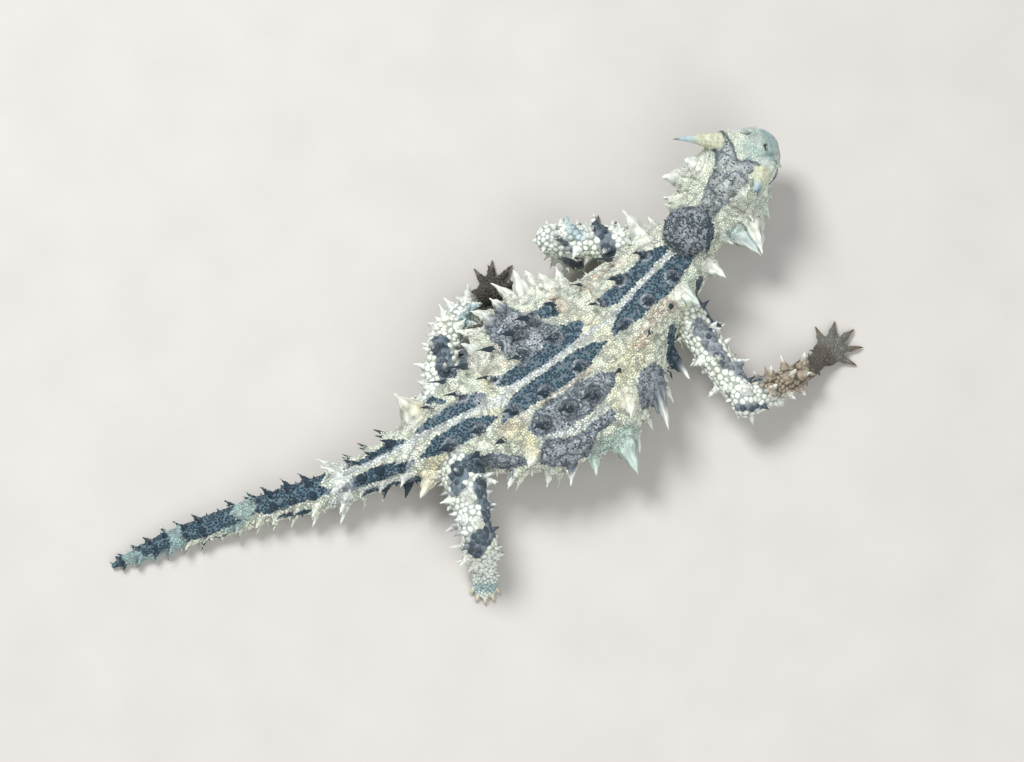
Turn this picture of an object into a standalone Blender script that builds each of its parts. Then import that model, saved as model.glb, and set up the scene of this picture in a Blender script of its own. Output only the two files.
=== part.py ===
"""Thorny devil (Moloch horridus), a life-size still model in mid stride.

Sizes are in millimetres and become metres as the meshes are made.
Axes: +Z up, the animal faces -Y, its left side is +X. The soles and the end of the tail lie at z = 0.
"""

import math
import random

import bmesh
import bpy
import numpy as np
from mathutils import Matrix, Vector

MM = 0.001
GAP = 0.3  # between neighbouring nodes
SEED = 11
UP = Vector((0.0, 0.0, 1.0))
SIDE_NAMES = {1: "left", -1: "right"}

# The body from tail tip to nose: x, y, height of the back, half width, height of the belly, squareness
BODY_SECTIONS = {
    "tail_tip": (20.2, 85.9, 1.7, 0.70, -0.10, 2.0),
    "tail_end": (18.2, 78.6, 3.4, 1.75, -0.12, 2.0),
    "tail_thin": (14.2, 67.4, 5.0, 2.40, -0.12, 2.0),
    "tail_mid": (8.2, 53.1, 7.2, 3.05, 0.45, 2.0),
    "tail_thick": (3.8, 43.8, 8.9, 3.50, 1.5, 2.0),
    "tail_root": (0.6, 34.0, 10.9, 4.00, 2.6, 2.1),
    "vent": (-1.9, 25.4, 13.4, 6.0, 3.7, 2.2),
    "hips": (-3.7, 20.1, 15.4, 8.4, 4.3, 2.3),
    "loin": (-5.8, 12.7, 17.7, 11.9, 4.7, 2.35),
    "belly": (-7.8, 3.6, 20.0, 16.3, 4.7, 2.4),
    "middle": (-8.8, -5.1, 21.0, 17.4, 4.7, 2.4),
    "ribs": (-8.7, -15.8, 20.9, 14.0, 5.2, 2.35),
    "shoulders": (-6.7, -26.0, 20.0, 10.4, 5.9, 2.3),
    "chest": (-4.9, -36.0, 17.9, 8.2, 6.7, 2.2),
    "neck": (-2.4, -46.0, 16.1, 5.7, 7.4, 2.1),
    "nape": (-0.4, -51.6, 16.6, 5.6, 7.6, 2.1),
    "occiput": (0.8, -56.0, 19.2, 6.7, 7.6, 2.2),
    "brow": (1.9, -61.7, 20.4, 7.0, 8.0, 2.4),
    "muzzle": (2.8, -66.2, 18.6, 5.8, 8.7, 2.4),
    "snout": (3.4, -69.0, 16.0, 4.1, 9.7, 2.3),
    "nose": (3.7, -70.9, 14.0, 2.0, 11.2, 2.0),
}
FLANK_SHARE = 0.45  # height of the widest level within a section

# Where the body is divided: lengths along it from the tail tip
DIVISIONS = {"tail_tip": 24.0, "tail_middle": 45.0, "tail_base": 64.0, "torso": 136.0, "neck": 148.5}

# Limb joints: x, y, z, radius. The palm has x and y, and the way it points, in degrees from -Y towards +X.
LIMBS = {
    "front_right": {
        "root": (-10.5, -33.6, 11.6, 3.6),
        "bend": (-36.0, -30.0, 9.0, 3.1),
        "wrist": (-37.2, -45.4, 4.0, 2.2),
        "palm": (-36.3, -51.9),
        "heading": 4.0,
    },
    "front_left": {
        "root": (1.0, -36.2, 11.4, 3.6),
        "bend": (14.8, -22.4, 12.6, 3.1),
        "wrist": (10.3, -25.6, 3.6, 2.2),
        "palm": (11.2, -31.2),
        "heading": 12.0,
    },
    "hind_right": {
        "root": (-8.6, 20.6, 10.2, 4.2),
        "bend": (-24.8, 29.4, 12.6, 3.4),
        "wrist": (-27.6, 30.0, 3.6, 2.4),
        "palm": (-28.7, 31.0),
        "heading": -130.0,
        "digits": (0.62, 0.72),  # how wide and how far they spread, as shares of the other feet's
    },
    "hind_left": {
        "root": (-1.6, 19.0, 9.6, 4.2),
        "bend": (11.2, 8.8, 9.6, 3.3),
        "wrist": (17.0, -3.0, 4.4, 2.4),
        "palm": (17.2, -8.6),
        "heading": 14.0,
    },
}
LIMB_PARTS = {"front": ("upper_arm", "forearm", "hand"), "hind": ("thigh", "shin", "foot")}
LIMB_SWELL = 0.12  # how much a length swells half way, as a share of its radius
LIMB_SIDES = 9

PALM = (2.8, 3.0, 1.8)  # half width, half length, half height
PALM_HEIGHT = 1.5
DIGIT_REACH = {-66.0: 3.9, -32.0: 5.0, 0.0: 5.4, 32.0: 5.0, 66.0: 4.0}  # angle: distance to the claw
DIGIT_RADII = (1.05, 0.75)
DIGIT_TIP_HEIGHT = 0.85
CLAW = (2.1, 0.6)  # length, radius at its root

# Head features: distance in front of the origin, height, distance from the midline
EYE_PLACE, EYE_RADIUS = (63.4, 15.1, 5.4), 1.75
LIDS_RADIUS, LIDS_THICKNESS = 1.95, 0.5
BROW_PLACE, BROW_HALVES = (61.3, 17.9, 4.8), (2.6, 3.9, 2.7)
CHEEK_PLACE, CHEEK_HALVES = (58.3, 11.0, 4.9), (2.8, 4.3, 2.7)
NOSTRIL_PLACE, NOSTRIL_RADIUS, NOSTRIL_RIM = (66.4, 17.9, 2.2), 0.42, 0.95
EAR_PLACE, EAR_HALVES = (57.4, 14.6, 7.4), (1.0, 1.0, 1.15)
HORN_PLACE, HORN_RADIUS = (60.3, 19.5, 5.6), 1.75
HORNS = {1: (10.4, (0.60, 0.55, 0.60)), -1: (8.6, (0.58, 0.36, 0.68))}  # length, and the lean back, out and up
MOUTH_HEIGHT, MOUTH_CORNER, MOUTH_DEPTH, MOUTH_GAP = 11.6, 60.0, 0.55, 0.34

# Head thorns: place, then (length on the left, length on the right), radius, and the lean back, out and up
HEAD_THORNS = {
    "temple": ((56.2, 17.2, 4.3), (3.8, 3.8), 1.9, (0.45, 0.75, 0.6)),
    "jaw": ((54.8, 11.4, 6.4), (5.2, 8.4), 2.2, (0.62, 1.0, 0.0)),
    "cheek": ((58.8, 9.8, 7.1), (2.4, 3.0), 1.1, (0.4, 1.0, -0.1)),
    "cheek_front": ((61.6, 10.2, 6.9), (1.6, 2.0), 0.85, (0.25, 1.0, 0.0)),
    "jaw_under": ((56.6, 8.8, 5.6), (1.8, 1.8), 0.9, (0.4, 0.9, -0.4)),
    "lip": ((66.6, 12.6, 5.2), (1.0, 1.0), 0.6, (0.1, 1.0, 0.1)),
    "behind_eye": ((60.0, 13.6, 7.2), (1.6, 1.6), 0.8, (0.5, 1.0, 0.25)),
    "crown": ((56.4, 18.7, 1.9), (1.4, 1.4), 0.8, (0.6, 0.3, 0.8)),
}

KNOB_CENTRE, KNOB_HALVES = (-3.3, -42.9, 18.6), (4.7, 4.9, 4.6)
KNOB_STUDS = {-5.0: 9, 28.0: 8, 58.0: 5}  # angle up from its widest level: number
KNOB_STUD = (1.1, 0.7)  # length, radius
COLLAR_TUBERCLE = ((-1.3, -49.8, 16.4), (1.5, 1.5, 1.2))

# Thorns of the torso. Angles go from the back (0) down each side to the belly (180).
# Two rows on each side of the spine: places as (length along the body, angle), then length, radius, lean back
BACK_ROWS = (
    (((70, 25), (76, 19), (83, 13), (90, 11), (98, 10), (110, 13), (117, 17), (124.5, 22)), 4.0, 1.5, 0.8),
    (((75, 42), (80, 34), (86.5, 30), (92, 28), (97, 30), (103.6, 32), (112, 36), (120, 42)), 4.2, 1.6, 0.75),
)
# The great thorns of each side, from the shoulder to the hip: length along, angle, length, radius, lean back
GREAT_THORNS = {
    1: (
        (132.0, 60, 2.6, 1.2, 0.0), (127.5, 50, 7.5, 2.6, 0.1), (108.0, 61, 4.2, 1.6, -0.1),
        (104.5, 50, 6.0, 2.5, 0.3), (102.8, 67, 4.8, 1.7, 0.3), (99.0, 57, 7.0, 2.4, 0.0),
        (106.0, 92, 6.4, 2.2, 0.4), (98.5, 95, 7.0, 2.5, 0.4), (93.5, 60, 4.2, 1.7, 0.2),
        (92.0, 94, 5.0, 1.8, 0.5), (89.3, 52, 4.6, 1.8, 0.0), (86.0, 90, 4.4, 1.6, 0.5),
        (82.8, 40, 5.6, 1.9, 0.1), (80.3, 88, 4.2, 1.5, 0.5), (66.0, 38, 7.6, 2.9, -0.1),
    ),
    -1: (
        (132.0, 64, 6.8, 2.0, 0.4), (123.0, 50, 8.0, 2.3, 0.35), (112.5, 92, 6.6, 1.8, 0.5),
        (106.5, 86, 9.6, 3.0, 0.7), (108.5, 106, 5.2, 1.5, 0.4), (101.0, 58, 6.5, 2.3, 0.6),
        (103.0, 102, 4.4, 1.4, 0.4), (97.5, 94, 8.0, 2.9, 0.35), (100.5, 101, 5.6, 1.8, 0.7),
        (92.2, 94, 3.8, 1.4, 0.4), (88.0, 90, 4.4, 1.5, 0.3), (84.6, 90, 3.6, 1.3, 0.3),
        (82.4, 60, 4.4, 1.7, 0.1), (79.4, 88, 3.8, 1.4, 0.6), (64.6, 84, 5.0, 2.0, 0.5),
    ),
}
# Low rows that go on at even steps: angle, then first and last length along, spacing, length, radius, lean back
LOW_ROWS = {
    112.0: (68.0, 128.0, 6.2, 3.4, 1.2, 0.45),
    134.0: (72.0, 130.0, 8.4, 1.9, 1.1, 0.3),
}
SMALL_ROWS = (4.0, 20.0, 41.0, 58.0, 76.0)
SMALL_THORN = (1.9, 0.85, 7.0)  # length, radius, spacing
SMALL_REACH = (66.0, 131.0)  # first and last length along the body

# Thorns in rings round the tail, with the great ring that marks its thick third
TAIL_RING_ANGLES = (24.0, 66.0, 106.0)
TAIL_RING_SPACING = 4.4
TAIL_THORN = (2.9, 1.05, 0.35)  # length, radius and lean back at the root
TAIL_GREAT_RING = 46.8
TAIL_GREAT_THORN = (4.4, 1.5, 0.5)

# Neck thorns: distance from its back end, angle, (length left, length right), radius
NECK_THORNS = (
    (5.6, 90.0, (3.0, 7.6), 1.9),
    (2.6, 72.0, (2.2, 3.0), 1.1),
    (10.3, 74.0, (2.4, 2.8), 1.1),
    (4.6, 122.0, (1.8, 1.8), 1.0),
    (9.0, 124.0, (1.8, 1.8), 1.0),
)
NECK_LEAN = 0.15

# Thorns of a limb's two straight lengths: share along it, turn from its upper side, length, radius
LIMB_THORNS = {
    "upper": (
        (0.30, 20, 2.8, 1.1), (0.42, -35, 3.2, 1.2), (0.55, 70, 2.4, 1.0), (0.62, 10, 3.4, 1.25),
        (0.72, -60, 3.0, 1.1), (0.84, 35, 2.8, 1.1), (0.93, -15, 3.6, 1.3), (0.50, 120, 2.0, 0.9),
        (0.78, 105, 2.4, 1.0), (0.36, -95, 2.2, 1.0), (0.60, -110, 2.0, 0.9),
    ),
    "lower": (
        (0.22, 25, 3.0, 1.15), (0.34, -30, 2.8, 1.05), (0.50, 60, 2.2, 0.9), (0.58, 0, 2.8, 1.05),
        (0.66, -70, 2.2, 0.9), (0.80, 30, 2.0, 0.85), (0.86, -25, 2.0, 0.85), (0.42, 115, 1.8, 0.8),
        (0.40, -110, 1.8, 0.8),
    ),
}

MATERIALS = {  # colour, roughness
    "skin": ((0.78, 0.76, 0.55, 1.0), 0.75),
    "dark_skin": ((0.13, 0.18, 0.21, 1.0), 0.75),
    "horn": ((0.80, 0.77, 0.55, 1.0), 0.5),
    "eye": ((0.015, 0.013, 0.012, 1.0), 0.08),
}


# The body's surface

SECTION_TABLE = np.array(list(BODY_SECTIONS.values()))
SECTION_STEPS = np.linalg.norm(np.diff(SECTION_TABLE[:, :2], axis=0), axis=1)
SECTION_LENGTHS = np.concatenate([[0.0], np.cumsum(SECTION_STEPS)])
SECTION_SLOPES = np.gradient(SECTION_TABLE, SECTION_LENGTHS, axis=0)
BODY_LENGTH = float(SECTION_LENGTHS[-1])


def section_at(length):
    """The section at a length along the body, on a smooth curve through the table's rows."""
    low = int(np.clip(np.searchsorted(SECTION_LENGTHS, length, side="right") - 1, 0, len(SECTION_TABLE) - 2))
    span = SECTION_LENGTHS[low + 1] - SECTION_LENGTHS[low]
    u = (length - SECTION_LENGTHS[low]) / span
    return (
        (2 * u**3 - 3 * u**2 + 1) * SECTION_TABLE[low]
        + (u**3 - 2 * u**2 + u) * span * SECTION_SLOPES[low]
        + (3 * u**2 - 2 * u**3) * SECTION_TABLE[low + 1]
        + (u**3 - u**2) * span * SECTION_SLOPES[low + 1]
    )


def body_axes(length):
    """The ways forward and left, level with the floor, at a length along the body."""
    ahead = section_at(min(length + 0.5, BODY_LENGTH))
    behind = section_at(max(length - 0.5, 0.0))
    forward = Vector((ahead[0] - behind[0], ahead[1] - behind[1], 0.0)).normalized()
    return forward, Vector((-forward.y, forward.x, 0.0))


def signed_power(value, power):
    return math.copysign(abs(value) ** power, value)


def body_point(length, angle, outset=0.0):
    """A point of the skin: 0 degrees is the back, 90 the left flank, -90 the right one and 180 the belly."""
    x, y, back, half, belly, square = section_at(length)
    back, half, belly = back + outset, half + outset, belly - outset
    flank = belly + FLANK_SHARE * (back - belly)
    side = signed_power(math.sin(math.radians(angle)), 2 / square) * half
    rise = signed_power(math.cos(math.radians(angle)), 2 / square)
    height = flank + rise * ((back - flank) if rise > 0 else (flank - belly))
    return Vector((x, y, height)) + body_axes(length)[1] * side


def body_normal(length, angle):
    along = body_point(min(length + 0.4, BODY_LENGTH), angle) - body_point(max(length - 0.4, 0.0), angle)
    around = body_point(length, angle + 2.0) - body_point(length, angle - 2.0)
    return along.cross(around).normalized()


def length_at(y):
    """The length along the body at which its midline passes a given y."""
    low, high = 0.0, BODY_LENGTH
    while high - low > 0.001:
        middle = (low + high) / 2
        if section_at(middle)[1] > y:
            low = middle
        else:
            high = middle
    return low


def head_point(side, place):
    """A point of the head from its distance in front of the origin, height and distance from the midline."""
    along, height, reach = place
    length = length_at(-along)
    x, y = section_at(length)[:2]
    return Vector((x, y, height)) + body_axes(length)[1] * (side * reach)


def head_lean(side, along, lean):
    """A direction on one side of the head from its shares back, out and up."""
    back, out, up = lean
    forward, left = body_axes(length_at(-along))
    return (left * (out * side) - forward * back + UP * up).normalized()


# Meshes

def mesh_object(name, bm, collection):
    bmesh.ops.triangulate(bm, faces=bm.faces)
    bmesh.ops.recalc_face_normals(bm, faces=bm.faces)
    bmesh.ops.scale(bm, vec=(MM, MM, MM), verts=bm.verts)
    mesh = bpy.data.meshes.new(name)
    bm.to_mesh(mesh)
    bm.free()
    obj = bpy.data.objects.new(name, mesh)
    collection.objects.link(obj)
    return obj


def loft(name, rings, collection, tip=None):
    """A closed skin over unlike rings of points, with flat ends or a point at the far end."""
    bm = bmesh.new()
    rows = [[bm.verts.new(point) for point in points] for points in rings]
    for low, high in zip(rows, rows[1:]):
        for i in range(len(low)):
            bm.faces.new((low[i - 1], low[i], high[i], high[i - 1]))
    bm.faces.new(rows[0])
    if tip is None:
        bm.faces.new(rows[-1])
    else:
        end = bm.verts.new(tip)
        for i in range(len(rows[-1])):
            bm.faces.new((rows[-1][i - 1], rows[-1][i], end))
    return mesh_object(name, bm, collection)


def circle(centre, axis, radius, sides):
    """Points round a circle whose plane is square to an axis."""
    side = axis.orthogonal().normalized()
    other = axis.cross(side).normalized()
    turns = [math.tau * i / sides for i in range(sides)]
    return [centre + (side * math.cos(turn) + other * math.sin(turn)) * radius for turn in turns]


def body_loft(name, start, end, sides, step, collection, outset=0.0):
    """The body's skin between two lengths, moved out where it is a cutter."""
    lengths = np.linspace(start, end, max(2, round((end - start) / step) + 1))
    angles = [360.0 * i / sides for i in range(sides)]
    rings = [[body_point(length, angle, outset) for angle in angles] for length in lengths]
    return loft(name, rings, collection)


def limb_tube(name, start, end, radii, collection, sides=LIMB_SIDES, outset=0.0, swell=LIMB_SWELL):
    """A straight length of a limb: a tapered tube that swells half way and ends in two domes."""
    axis = (end - start).normalized()
    first, last = radii[0] + outset, radii[1] + outset
    dome = 0.82
    width = math.sqrt(1 - dome**2)
    middle = (first + last) / 2 * (1 + swell)
    rings = [
        circle(start - axis * first * dome, axis, first * width, sides),
        circle(start, axis, first, sides),
        circle((start + end) / 2, axis, middle, sides),
        circle(end, axis, last, sides),
        circle(end + axis * last * dome, axis, last * width, sides),
    ]
    return loft(name, rings, collection)


def ball(name, centre, halves, collection, segments=10, rings=6, turn=0.0):
    """An ellipsoid, turned about a vertical axis."""
    bm = bmesh.new()
    place = Matrix.Translation(centre) @ Matrix.Rotation(turn, 4, "Z") @ Matrix.Diagonal((*halves, 1.0))
    bmesh.ops.create_uvsphere(bm, u_segments=segments, v_segments=rings, radius=1.0, matrix=place)
    return mesh_object(name, bm, collection)


def cone(name, foot, direction, length, radii, collection, sides=5):
    """A cone or a drum that stands on its foot."""
    bm = bmesh.new()
    turn = direction.to_track_quat("Z", "Y").to_matrix().to_4x4()
    place = Matrix.Translation(foot + direction.normalized() * length / 2) @ turn
    bmesh.ops.create_cone(
        bm, cap_ends=True, segments=sides, radius1=radii[0], radius2=radii[1], depth=length, matrix=place
    )
    return mesh_object(name, bm, collection)


def small_thorn(root, direction, length, radius, collection):
    """A plain cone whose foot is sunk in the skin by its own radius."""
    direction = direction.normalized()
    return cone("small_thorn", root - direction * radius, direction, length + radius, (radius, 0.0), collection)


def thorn(root, direction, length, radius, collection, bend=Vector(), sides=5):
    """A thorn with a broad foot, a quick taper and a fine tip that bends over a little."""
    direction = direction.normalized()
    rings = [
        circle(root - direction * radius * 0.9, direction, radius, sides),
        circle(root + direction * length * 0.38 + bend * length * 0.15, direction, radius * 0.52, sides),
    ]
    return loft("thorn", rings, collection, tip=root + (direction + bend) * length)


# Joining and cutting

def combine(obj, operation, others):
    """Applies one Boolean of all the others to an object, and removes them."""
    helpers = bpy.data.collections.new("helpers")
    for other in others:
        for holder in list(other.users_collection):
            holder.objects.unlink(other)
        helpers.objects.link(other)
    modifier = obj.modifiers.new("combine", "BOOLEAN")
    modifier.operation = operation
    modifier.operand_type = "COLLECTION"
    modifier.collection = helpers
    graph = bpy.context.evaluated_depsgraph_get()
    mesh = bpy.data.meshes.new_from_object(obj.evaluated_get(graph))
    obj.modifiers.clear()
    old = obj.data
    obj.data = mesh
    bpy.data.meshes.remove(old)
    for other in list(helpers.objects):
        bpy.data.objects.remove(other)
    bpy.data.collections.remove(helpers)


def closed_surfaces(bm):
    """The faces of each closed surface of a mesh."""
    left = set(bm.faces)
    while left:
        surface = [left.pop()]
        for face in surface:
            for edge in face.edges:
                beside = [other for other in edge.link_faces if other in left]
                left.difference_update(beside)
                surface.extend(beside)
        yield surface


def enclosed_volume(faces):
    total = 0.0
    for face in faces:
        first, *rest = [loop.vert.co for loop in face.loops]
        total += sum(first.dot(a.cross(b)) for a, b in zip(rest, rest[1:]))
    return abs(total)


def keep_largest(obj):
    """Drops every closed surface but the largest."""
    bm = bmesh.new()
    bm.from_mesh(obj.data)
    surfaces = sorted(closed_surfaces(bm), key=enclosed_volume)
    for surface in surfaces[:-1]:
        bmesh.ops.delete(bm, geom=surface, context="FACES")
    bmesh.ops.triangulate(bm, faces=bm.faces, quad_method="FIXED", ngon_method="EAR_CLIP")
    bm.to_mesh(obj.data)
    bm.free()


def below_floor(collection):
    """A block that trims whatever reaches under the floor, which leaves the flats that the animal stands on."""
    bm = bmesh.new()
    place = Matrix.Translation((0.0, 0.0, -10.0)) @ Matrix.Diagonal((300.0, 300.0, 20.0, 1.0))
    bmesh.ops.create_cube(bm, size=1.0, matrix=place)
    return mesh_object("below_floor", bm, collection)


def finish_node(obj, name, pieces, holes, material, cutters):
    """Fuses a node's pieces, cuts its holes and gives it its name and material."""
    if pieces:
        combine(obj, "UNION", pieces)
    combine(obj, "DIFFERENCE", holes + [below_floor(cutters)])
    keep_largest(obj)
    obj.name = name
    obj.data.name = name
    obj.data.materials.clear()
    obj.data.materials.append(bpy.data.materials[material])
    obj.data.shade_smooth()
    obj.data.set_sharp_from_angle(angle=math.radians(40))


def make_material(name, colour, roughness):
    material = bpy.data.materials.new(name)
    material.use_nodes = True
    shader = material.node_tree.nodes["Principled BSDF"]
    shader.inputs["Base Color"].default_value = colour
    shader.inputs["Roughness"].default_value = roughness
    shader.inputs["Metallic"].default_value = 0.0


# Limb lengths, and the room that thorns leave between a limb and the body

def limb_lengths(limb):
    """The two straight lengths of a limb and its foot, each as (start, end, start radius, end radius)."""
    root, bend, wrist = (Vector(limb[joint][:3]) for joint in ("root", "bend", "wrist"))
    radii = [limb[joint][3] for joint in ("root", "bend", "wrist")]
    palm = Vector((*limb["palm"], PALM_HEIGHT))
    return (root, bend, radii[0], radii[1]), (bend, wrist, radii[1], radii[2]), (wrist, palm, radii[2], PALM[0])


def room_beside(point, stretch):
    """How far a point is from the skin of a limb's length."""
    start, end, first, last = stretch
    axis = end - start
    share = min(1.0, max(0.0, (point - start).dot(axis) / axis.length_squared))
    return (point - start - axis * share).length - (first + (last - first) * share) * (1 + LIMB_SWELL)


def clear_of_limbs(root, tip, room):
    """Whether a thorn of the body keeps its room from every limb and stays above the floor."""
    stretches = [stretch for limb in LIMBS.values() for stretch in limb_lengths(limb)]
    points = {0.0: room, 0.4: room * 0.8, 0.7: room * 0.6, 1.0: 0.4}
    beside = (room_beside(root.lerp(tip, share), stretch) > least
              for share, least in points.items() for stretch in stretches)
    return tip.z > 0.6 and all(beside)


def clear_of_body(root, tip, room):
    """Whether a thorn of a limb keeps its room, and that of the body's own thorns, from the body."""
    for point in (root, root.lerp(tip, 0.5), tip):
        length = length_at(point.y)
        x, _, back, half, belly, _ = section_at(length)
        side = abs((point.x - x) * body_axes(length)[1].x)
        flank = belly + FLANK_SHARE * (back - belly)
        rise = (point.z - flank) / ((back - flank) if point.z > flank else (flank - belly))
        if (side / (half + room)) ** 2 + (rise / 1.25) ** 2 < 1:
            return False
    return True


# Thorns of the torso, tail and neck

def body_thorn(length, angle, size, lean, limits, collection, large):
    """A list with one thorn of the body, or none where it would meet a limb, the floor or the node's end."""
    reach, radius = size
    if not limits[0] + radius + GAP < length < limits[1] - radius - GAP:
        return []
    root = body_point(length, angle)
    forward, _ = body_axes(length)
    direction = (body_normal(length, angle) - forward * lean).normalized()
    if not clear_of_limbs(root, root + direction * reach, radius + 0.7):
        return []
    if large:
        return [thorn(root, direction, reach, radius, collection, bend=forward * -0.1)]
    return [small_thorn(root, direction, reach, radius, collection)]


def great_axis(side, values):
    """The root, the direction and the length of one great thorn."""
    length, angle, reach, _, lean = values
    direction = (body_normal(length, side * angle) - body_axes(length)[0] * lean).normalized()
    return body_point(length, side * angle), direction, reach


def great_stretches():
    """The great thorns as tapered lengths, for whatever has to keep clear of them."""
    stretches = []
    for side, thorns in GREAT_THORNS.items():
        for values in thorns:
            root, direction, reach = great_axis(side, values)
            stretches.append((root, root + direction * reach, values[3], 0.0))
    return stretches


def great_thorns(collection):
    """The great thorns, cut clear of the limbs that start beside them."""
    limbs = [limb_lengths(limb)[0] for limb in LIMBS.values()]
    made = []
    for side, thorns in GREAT_THORNS.items():
        for values in thorns:
            root, direction, reach = great_axis(side, values)
            piece = thorn(root, direction, reach, values[3], collection, sides=7)
            near = [limb for limb in limbs if room_beside(root.lerp(root + direction * reach, 0.3), limb) < 4.0]
            if near:
                tubes = [limb_tube("limb", *limb[:2], limb[2:], collection, outset=GAP) for limb in near]
                combine(piece, "DIFFERENCE", tubes)
            made.append(piece)
    return made


def torso_thorns(limits, collection):
    """The great thorns, two rows beside the spine, the low rows and small thorns among them."""
    rng = random.Random(SEED)
    great = great_stretches()
    made = great_thorns(collection)

    def add(length, angle, size, lean, large):
        root = body_point(length, angle)
        if all(room_beside(root, other) > size[1] * 0.6 for other in great):
            made.extend(body_thorn(length, angle, size, lean, limits, collection, large))

    for side in SIDE_NAMES:
        for places, reach, radius, lean in BACK_ROWS:
            for length, angle in places:
                size = rng.uniform(0.9, 1.1)
                turn = side * (angle + rng.uniform(-1.0, 1.0))
                add(length + rng.uniform(-0.5, 0.5), turn, (reach * size, radius * size), lean, True)
        for angle, (first, last, spacing, reach, radius, lean) in LOW_ROWS.items():
            for length in np.arange(first, last, spacing):
                size = rng.uniform(0.85, 1.15)
                turn = side * (angle + rng.uniform(-3.0, 3.0))
                add(float(length), turn, (reach * size, radius * size), lean, True)
        reach, radius, spacing = SMALL_THORN
        for angle in SMALL_ROWS:
            for length in np.arange(SMALL_REACH[0] + rng.uniform(0.0, spacing), SMALL_REACH[1], spacing):
                size = rng.uniform(0.8, 1.25)
                turn = side * (angle + rng.uniform(-4.0, 4.0))
                add(float(length), turn, (reach * size, radius * size), 0.5, False)
    return made


def tail_thorns(limits, collection):
    """Rings of thorns that shrink towards the tip."""
    rng = random.Random(SEED + round(limits[0]))
    made = []
    length = limits[0] + 2.2
    while length < limits[1] - 1.5:
        share = length / DIVISIONS["tail_base"]
        great = abs(length - TAIL_GREAT_RING) < TAIL_RING_SPACING / 2
        reach, radius, lean = TAIL_GREAT_THORN if great else TAIL_THORN
        for side in SIDE_NAMES:
            for angle in TAIL_RING_ANGLES:
                size = (0.42 + 0.58 * share) * rng.uniform(0.85, 1.15)
                made += body_thorn(length + rng.uniform(-0.4, 0.4), side * angle, (reach * size, radius * size),
                                   lean, limits, collection, great)
        length += TAIL_RING_SPACING * (0.72 + 0.28 * share)
    return made


def neck_thorns(limits, collection):
    made = []
    for distance, angle, lengths, radius in NECK_THORNS:
        for side, reach in zip(SIDE_NAMES, lengths):
            made += body_thorn(limits[0] + distance, side * angle, (reach, radius), NECK_LEAN, limits, collection,
                               True)
    return made


# The nodes of the body

def neighbour_cutter(end, way, sides, collection):
    """What lies past the end of a node: its neighbour's skin, moved out by the gap, which trims its thorns."""
    near = end + way * GAP / 2
    start, stop = sorted((near, end + way * 8.0))
    return body_loft("neighbour", start, stop, sides, 2.0, collection, outset=GAP)


def knob_cutter(collection):
    return ball("knob_cutter", KNOB_CENTRE, [half + GAP for half in KNOB_HALVES], collection, 14, 10)


def make_body_node(name, start, end, sides, step, thorns, holes, collection, cutters):
    """One length of the body with its thorns, between two lengths from the tail tip."""
    limits = (start + GAP / 2, end - GAP / 2)
    obj = body_loft(name, *limits, sides, step, collection)
    holes = holes + [neighbour_cutter(end, 1, sides, cutters)]
    if start > 0:
        holes.append(neighbour_cutter(start, -1, sides, cutters))
    finish_node(obj, name, thorns(limits, collection), holes, "skin", cutters)


def make_body(collection, cutters):
    """The tail in three lengths, the torso, the neck and the knob that stands on the nape."""
    cuts = DIVISIONS
    make_body_node("tail_tip", 0.01, cuts["tail_tip"], 8, 3.4, tail_thorns, [], collection, cutters)
    make_body_node("tail_middle", cuts["tail_tip"], cuts["tail_middle"], 10, 3.4, tail_thorns, [], collection,
                   cutters)
    make_body_node("tail_base", cuts["tail_middle"], cuts["tail_base"], 12, 3.4, tail_thorns, [], collection,
                   cutters)
    make_body_node("torso", cuts["tail_base"], cuts["torso"], 22, 3.2, torso_thorns, [knob_cutter(cutters)],
                   collection, cutters)

    def thorns_and_tubercle(limits, holder):
        tubercle = ball("tubercle", *COLLAR_TUBERCLE, holder, 8, 5)
        return neck_thorns(limits, holder) + [tubercle]

    make_body_node("neck", cuts["torso"], cuts["neck"], 16, 2.6, thorns_and_tubercle, [knob_cutter(cutters)],
                   collection, cutters)
    make_knob(collection, cutters)


def make_knob(collection, cutters):
    """The round knob on the nape, studded with low points."""
    rng = random.Random(SEED + 9)
    knob = ball("knob", KNOB_CENTRE, KNOB_HALVES, collection, 14, 9)
    studs = []
    for rise, count in KNOB_STUDS.items():
        for i in range(count):
            turn = math.radians(360.0 * (i + rng.uniform(-0.15, 0.15)) / count + rise)
            up = math.radians(rise)
            out = Vector((math.cos(turn) * math.cos(up), math.sin(turn) * math.cos(up), math.sin(up)))
            root = Vector(KNOB_CENTRE) + out * Vector(KNOB_HALVES)
            studs.append(small_thorn(root, out, KNOB_STUD[0] * rng.uniform(0.7, 1.2), KNOB_STUD[1], collection))
    finish_node(knob, "nape_knob", studs, [], "dark_skin", cutters)


# The head

def brow_horn(side, collection, outset=0.0):
    """The long horn over one eye, which leans back, out and up and bends over towards its tip."""
    root = head_point(side, HORN_PLACE)
    length, lean = HORNS[side]
    direction = head_lean(side, HORN_PLACE[0], lean)
    bend = head_lean(side, HORN_PLACE[0], (1.0, -0.15, -0.1)) * 0.12
    widths = {-0.05: 1.1, 0.04: 1.06, 0.15: 0.9, 0.38: 0.62, 0.66: 0.36}
    rings = []
    for share, width in widths.items():
        centre = root + (direction * share + bend * max(share, 0.0) ** 2) * length
        rings.append(circle(centre, direction, HORN_RADIUS * width + outset, 8))
    return loft("horn", rings, collection, tip=root + (direction + bend) * length + direction * outset)


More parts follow.
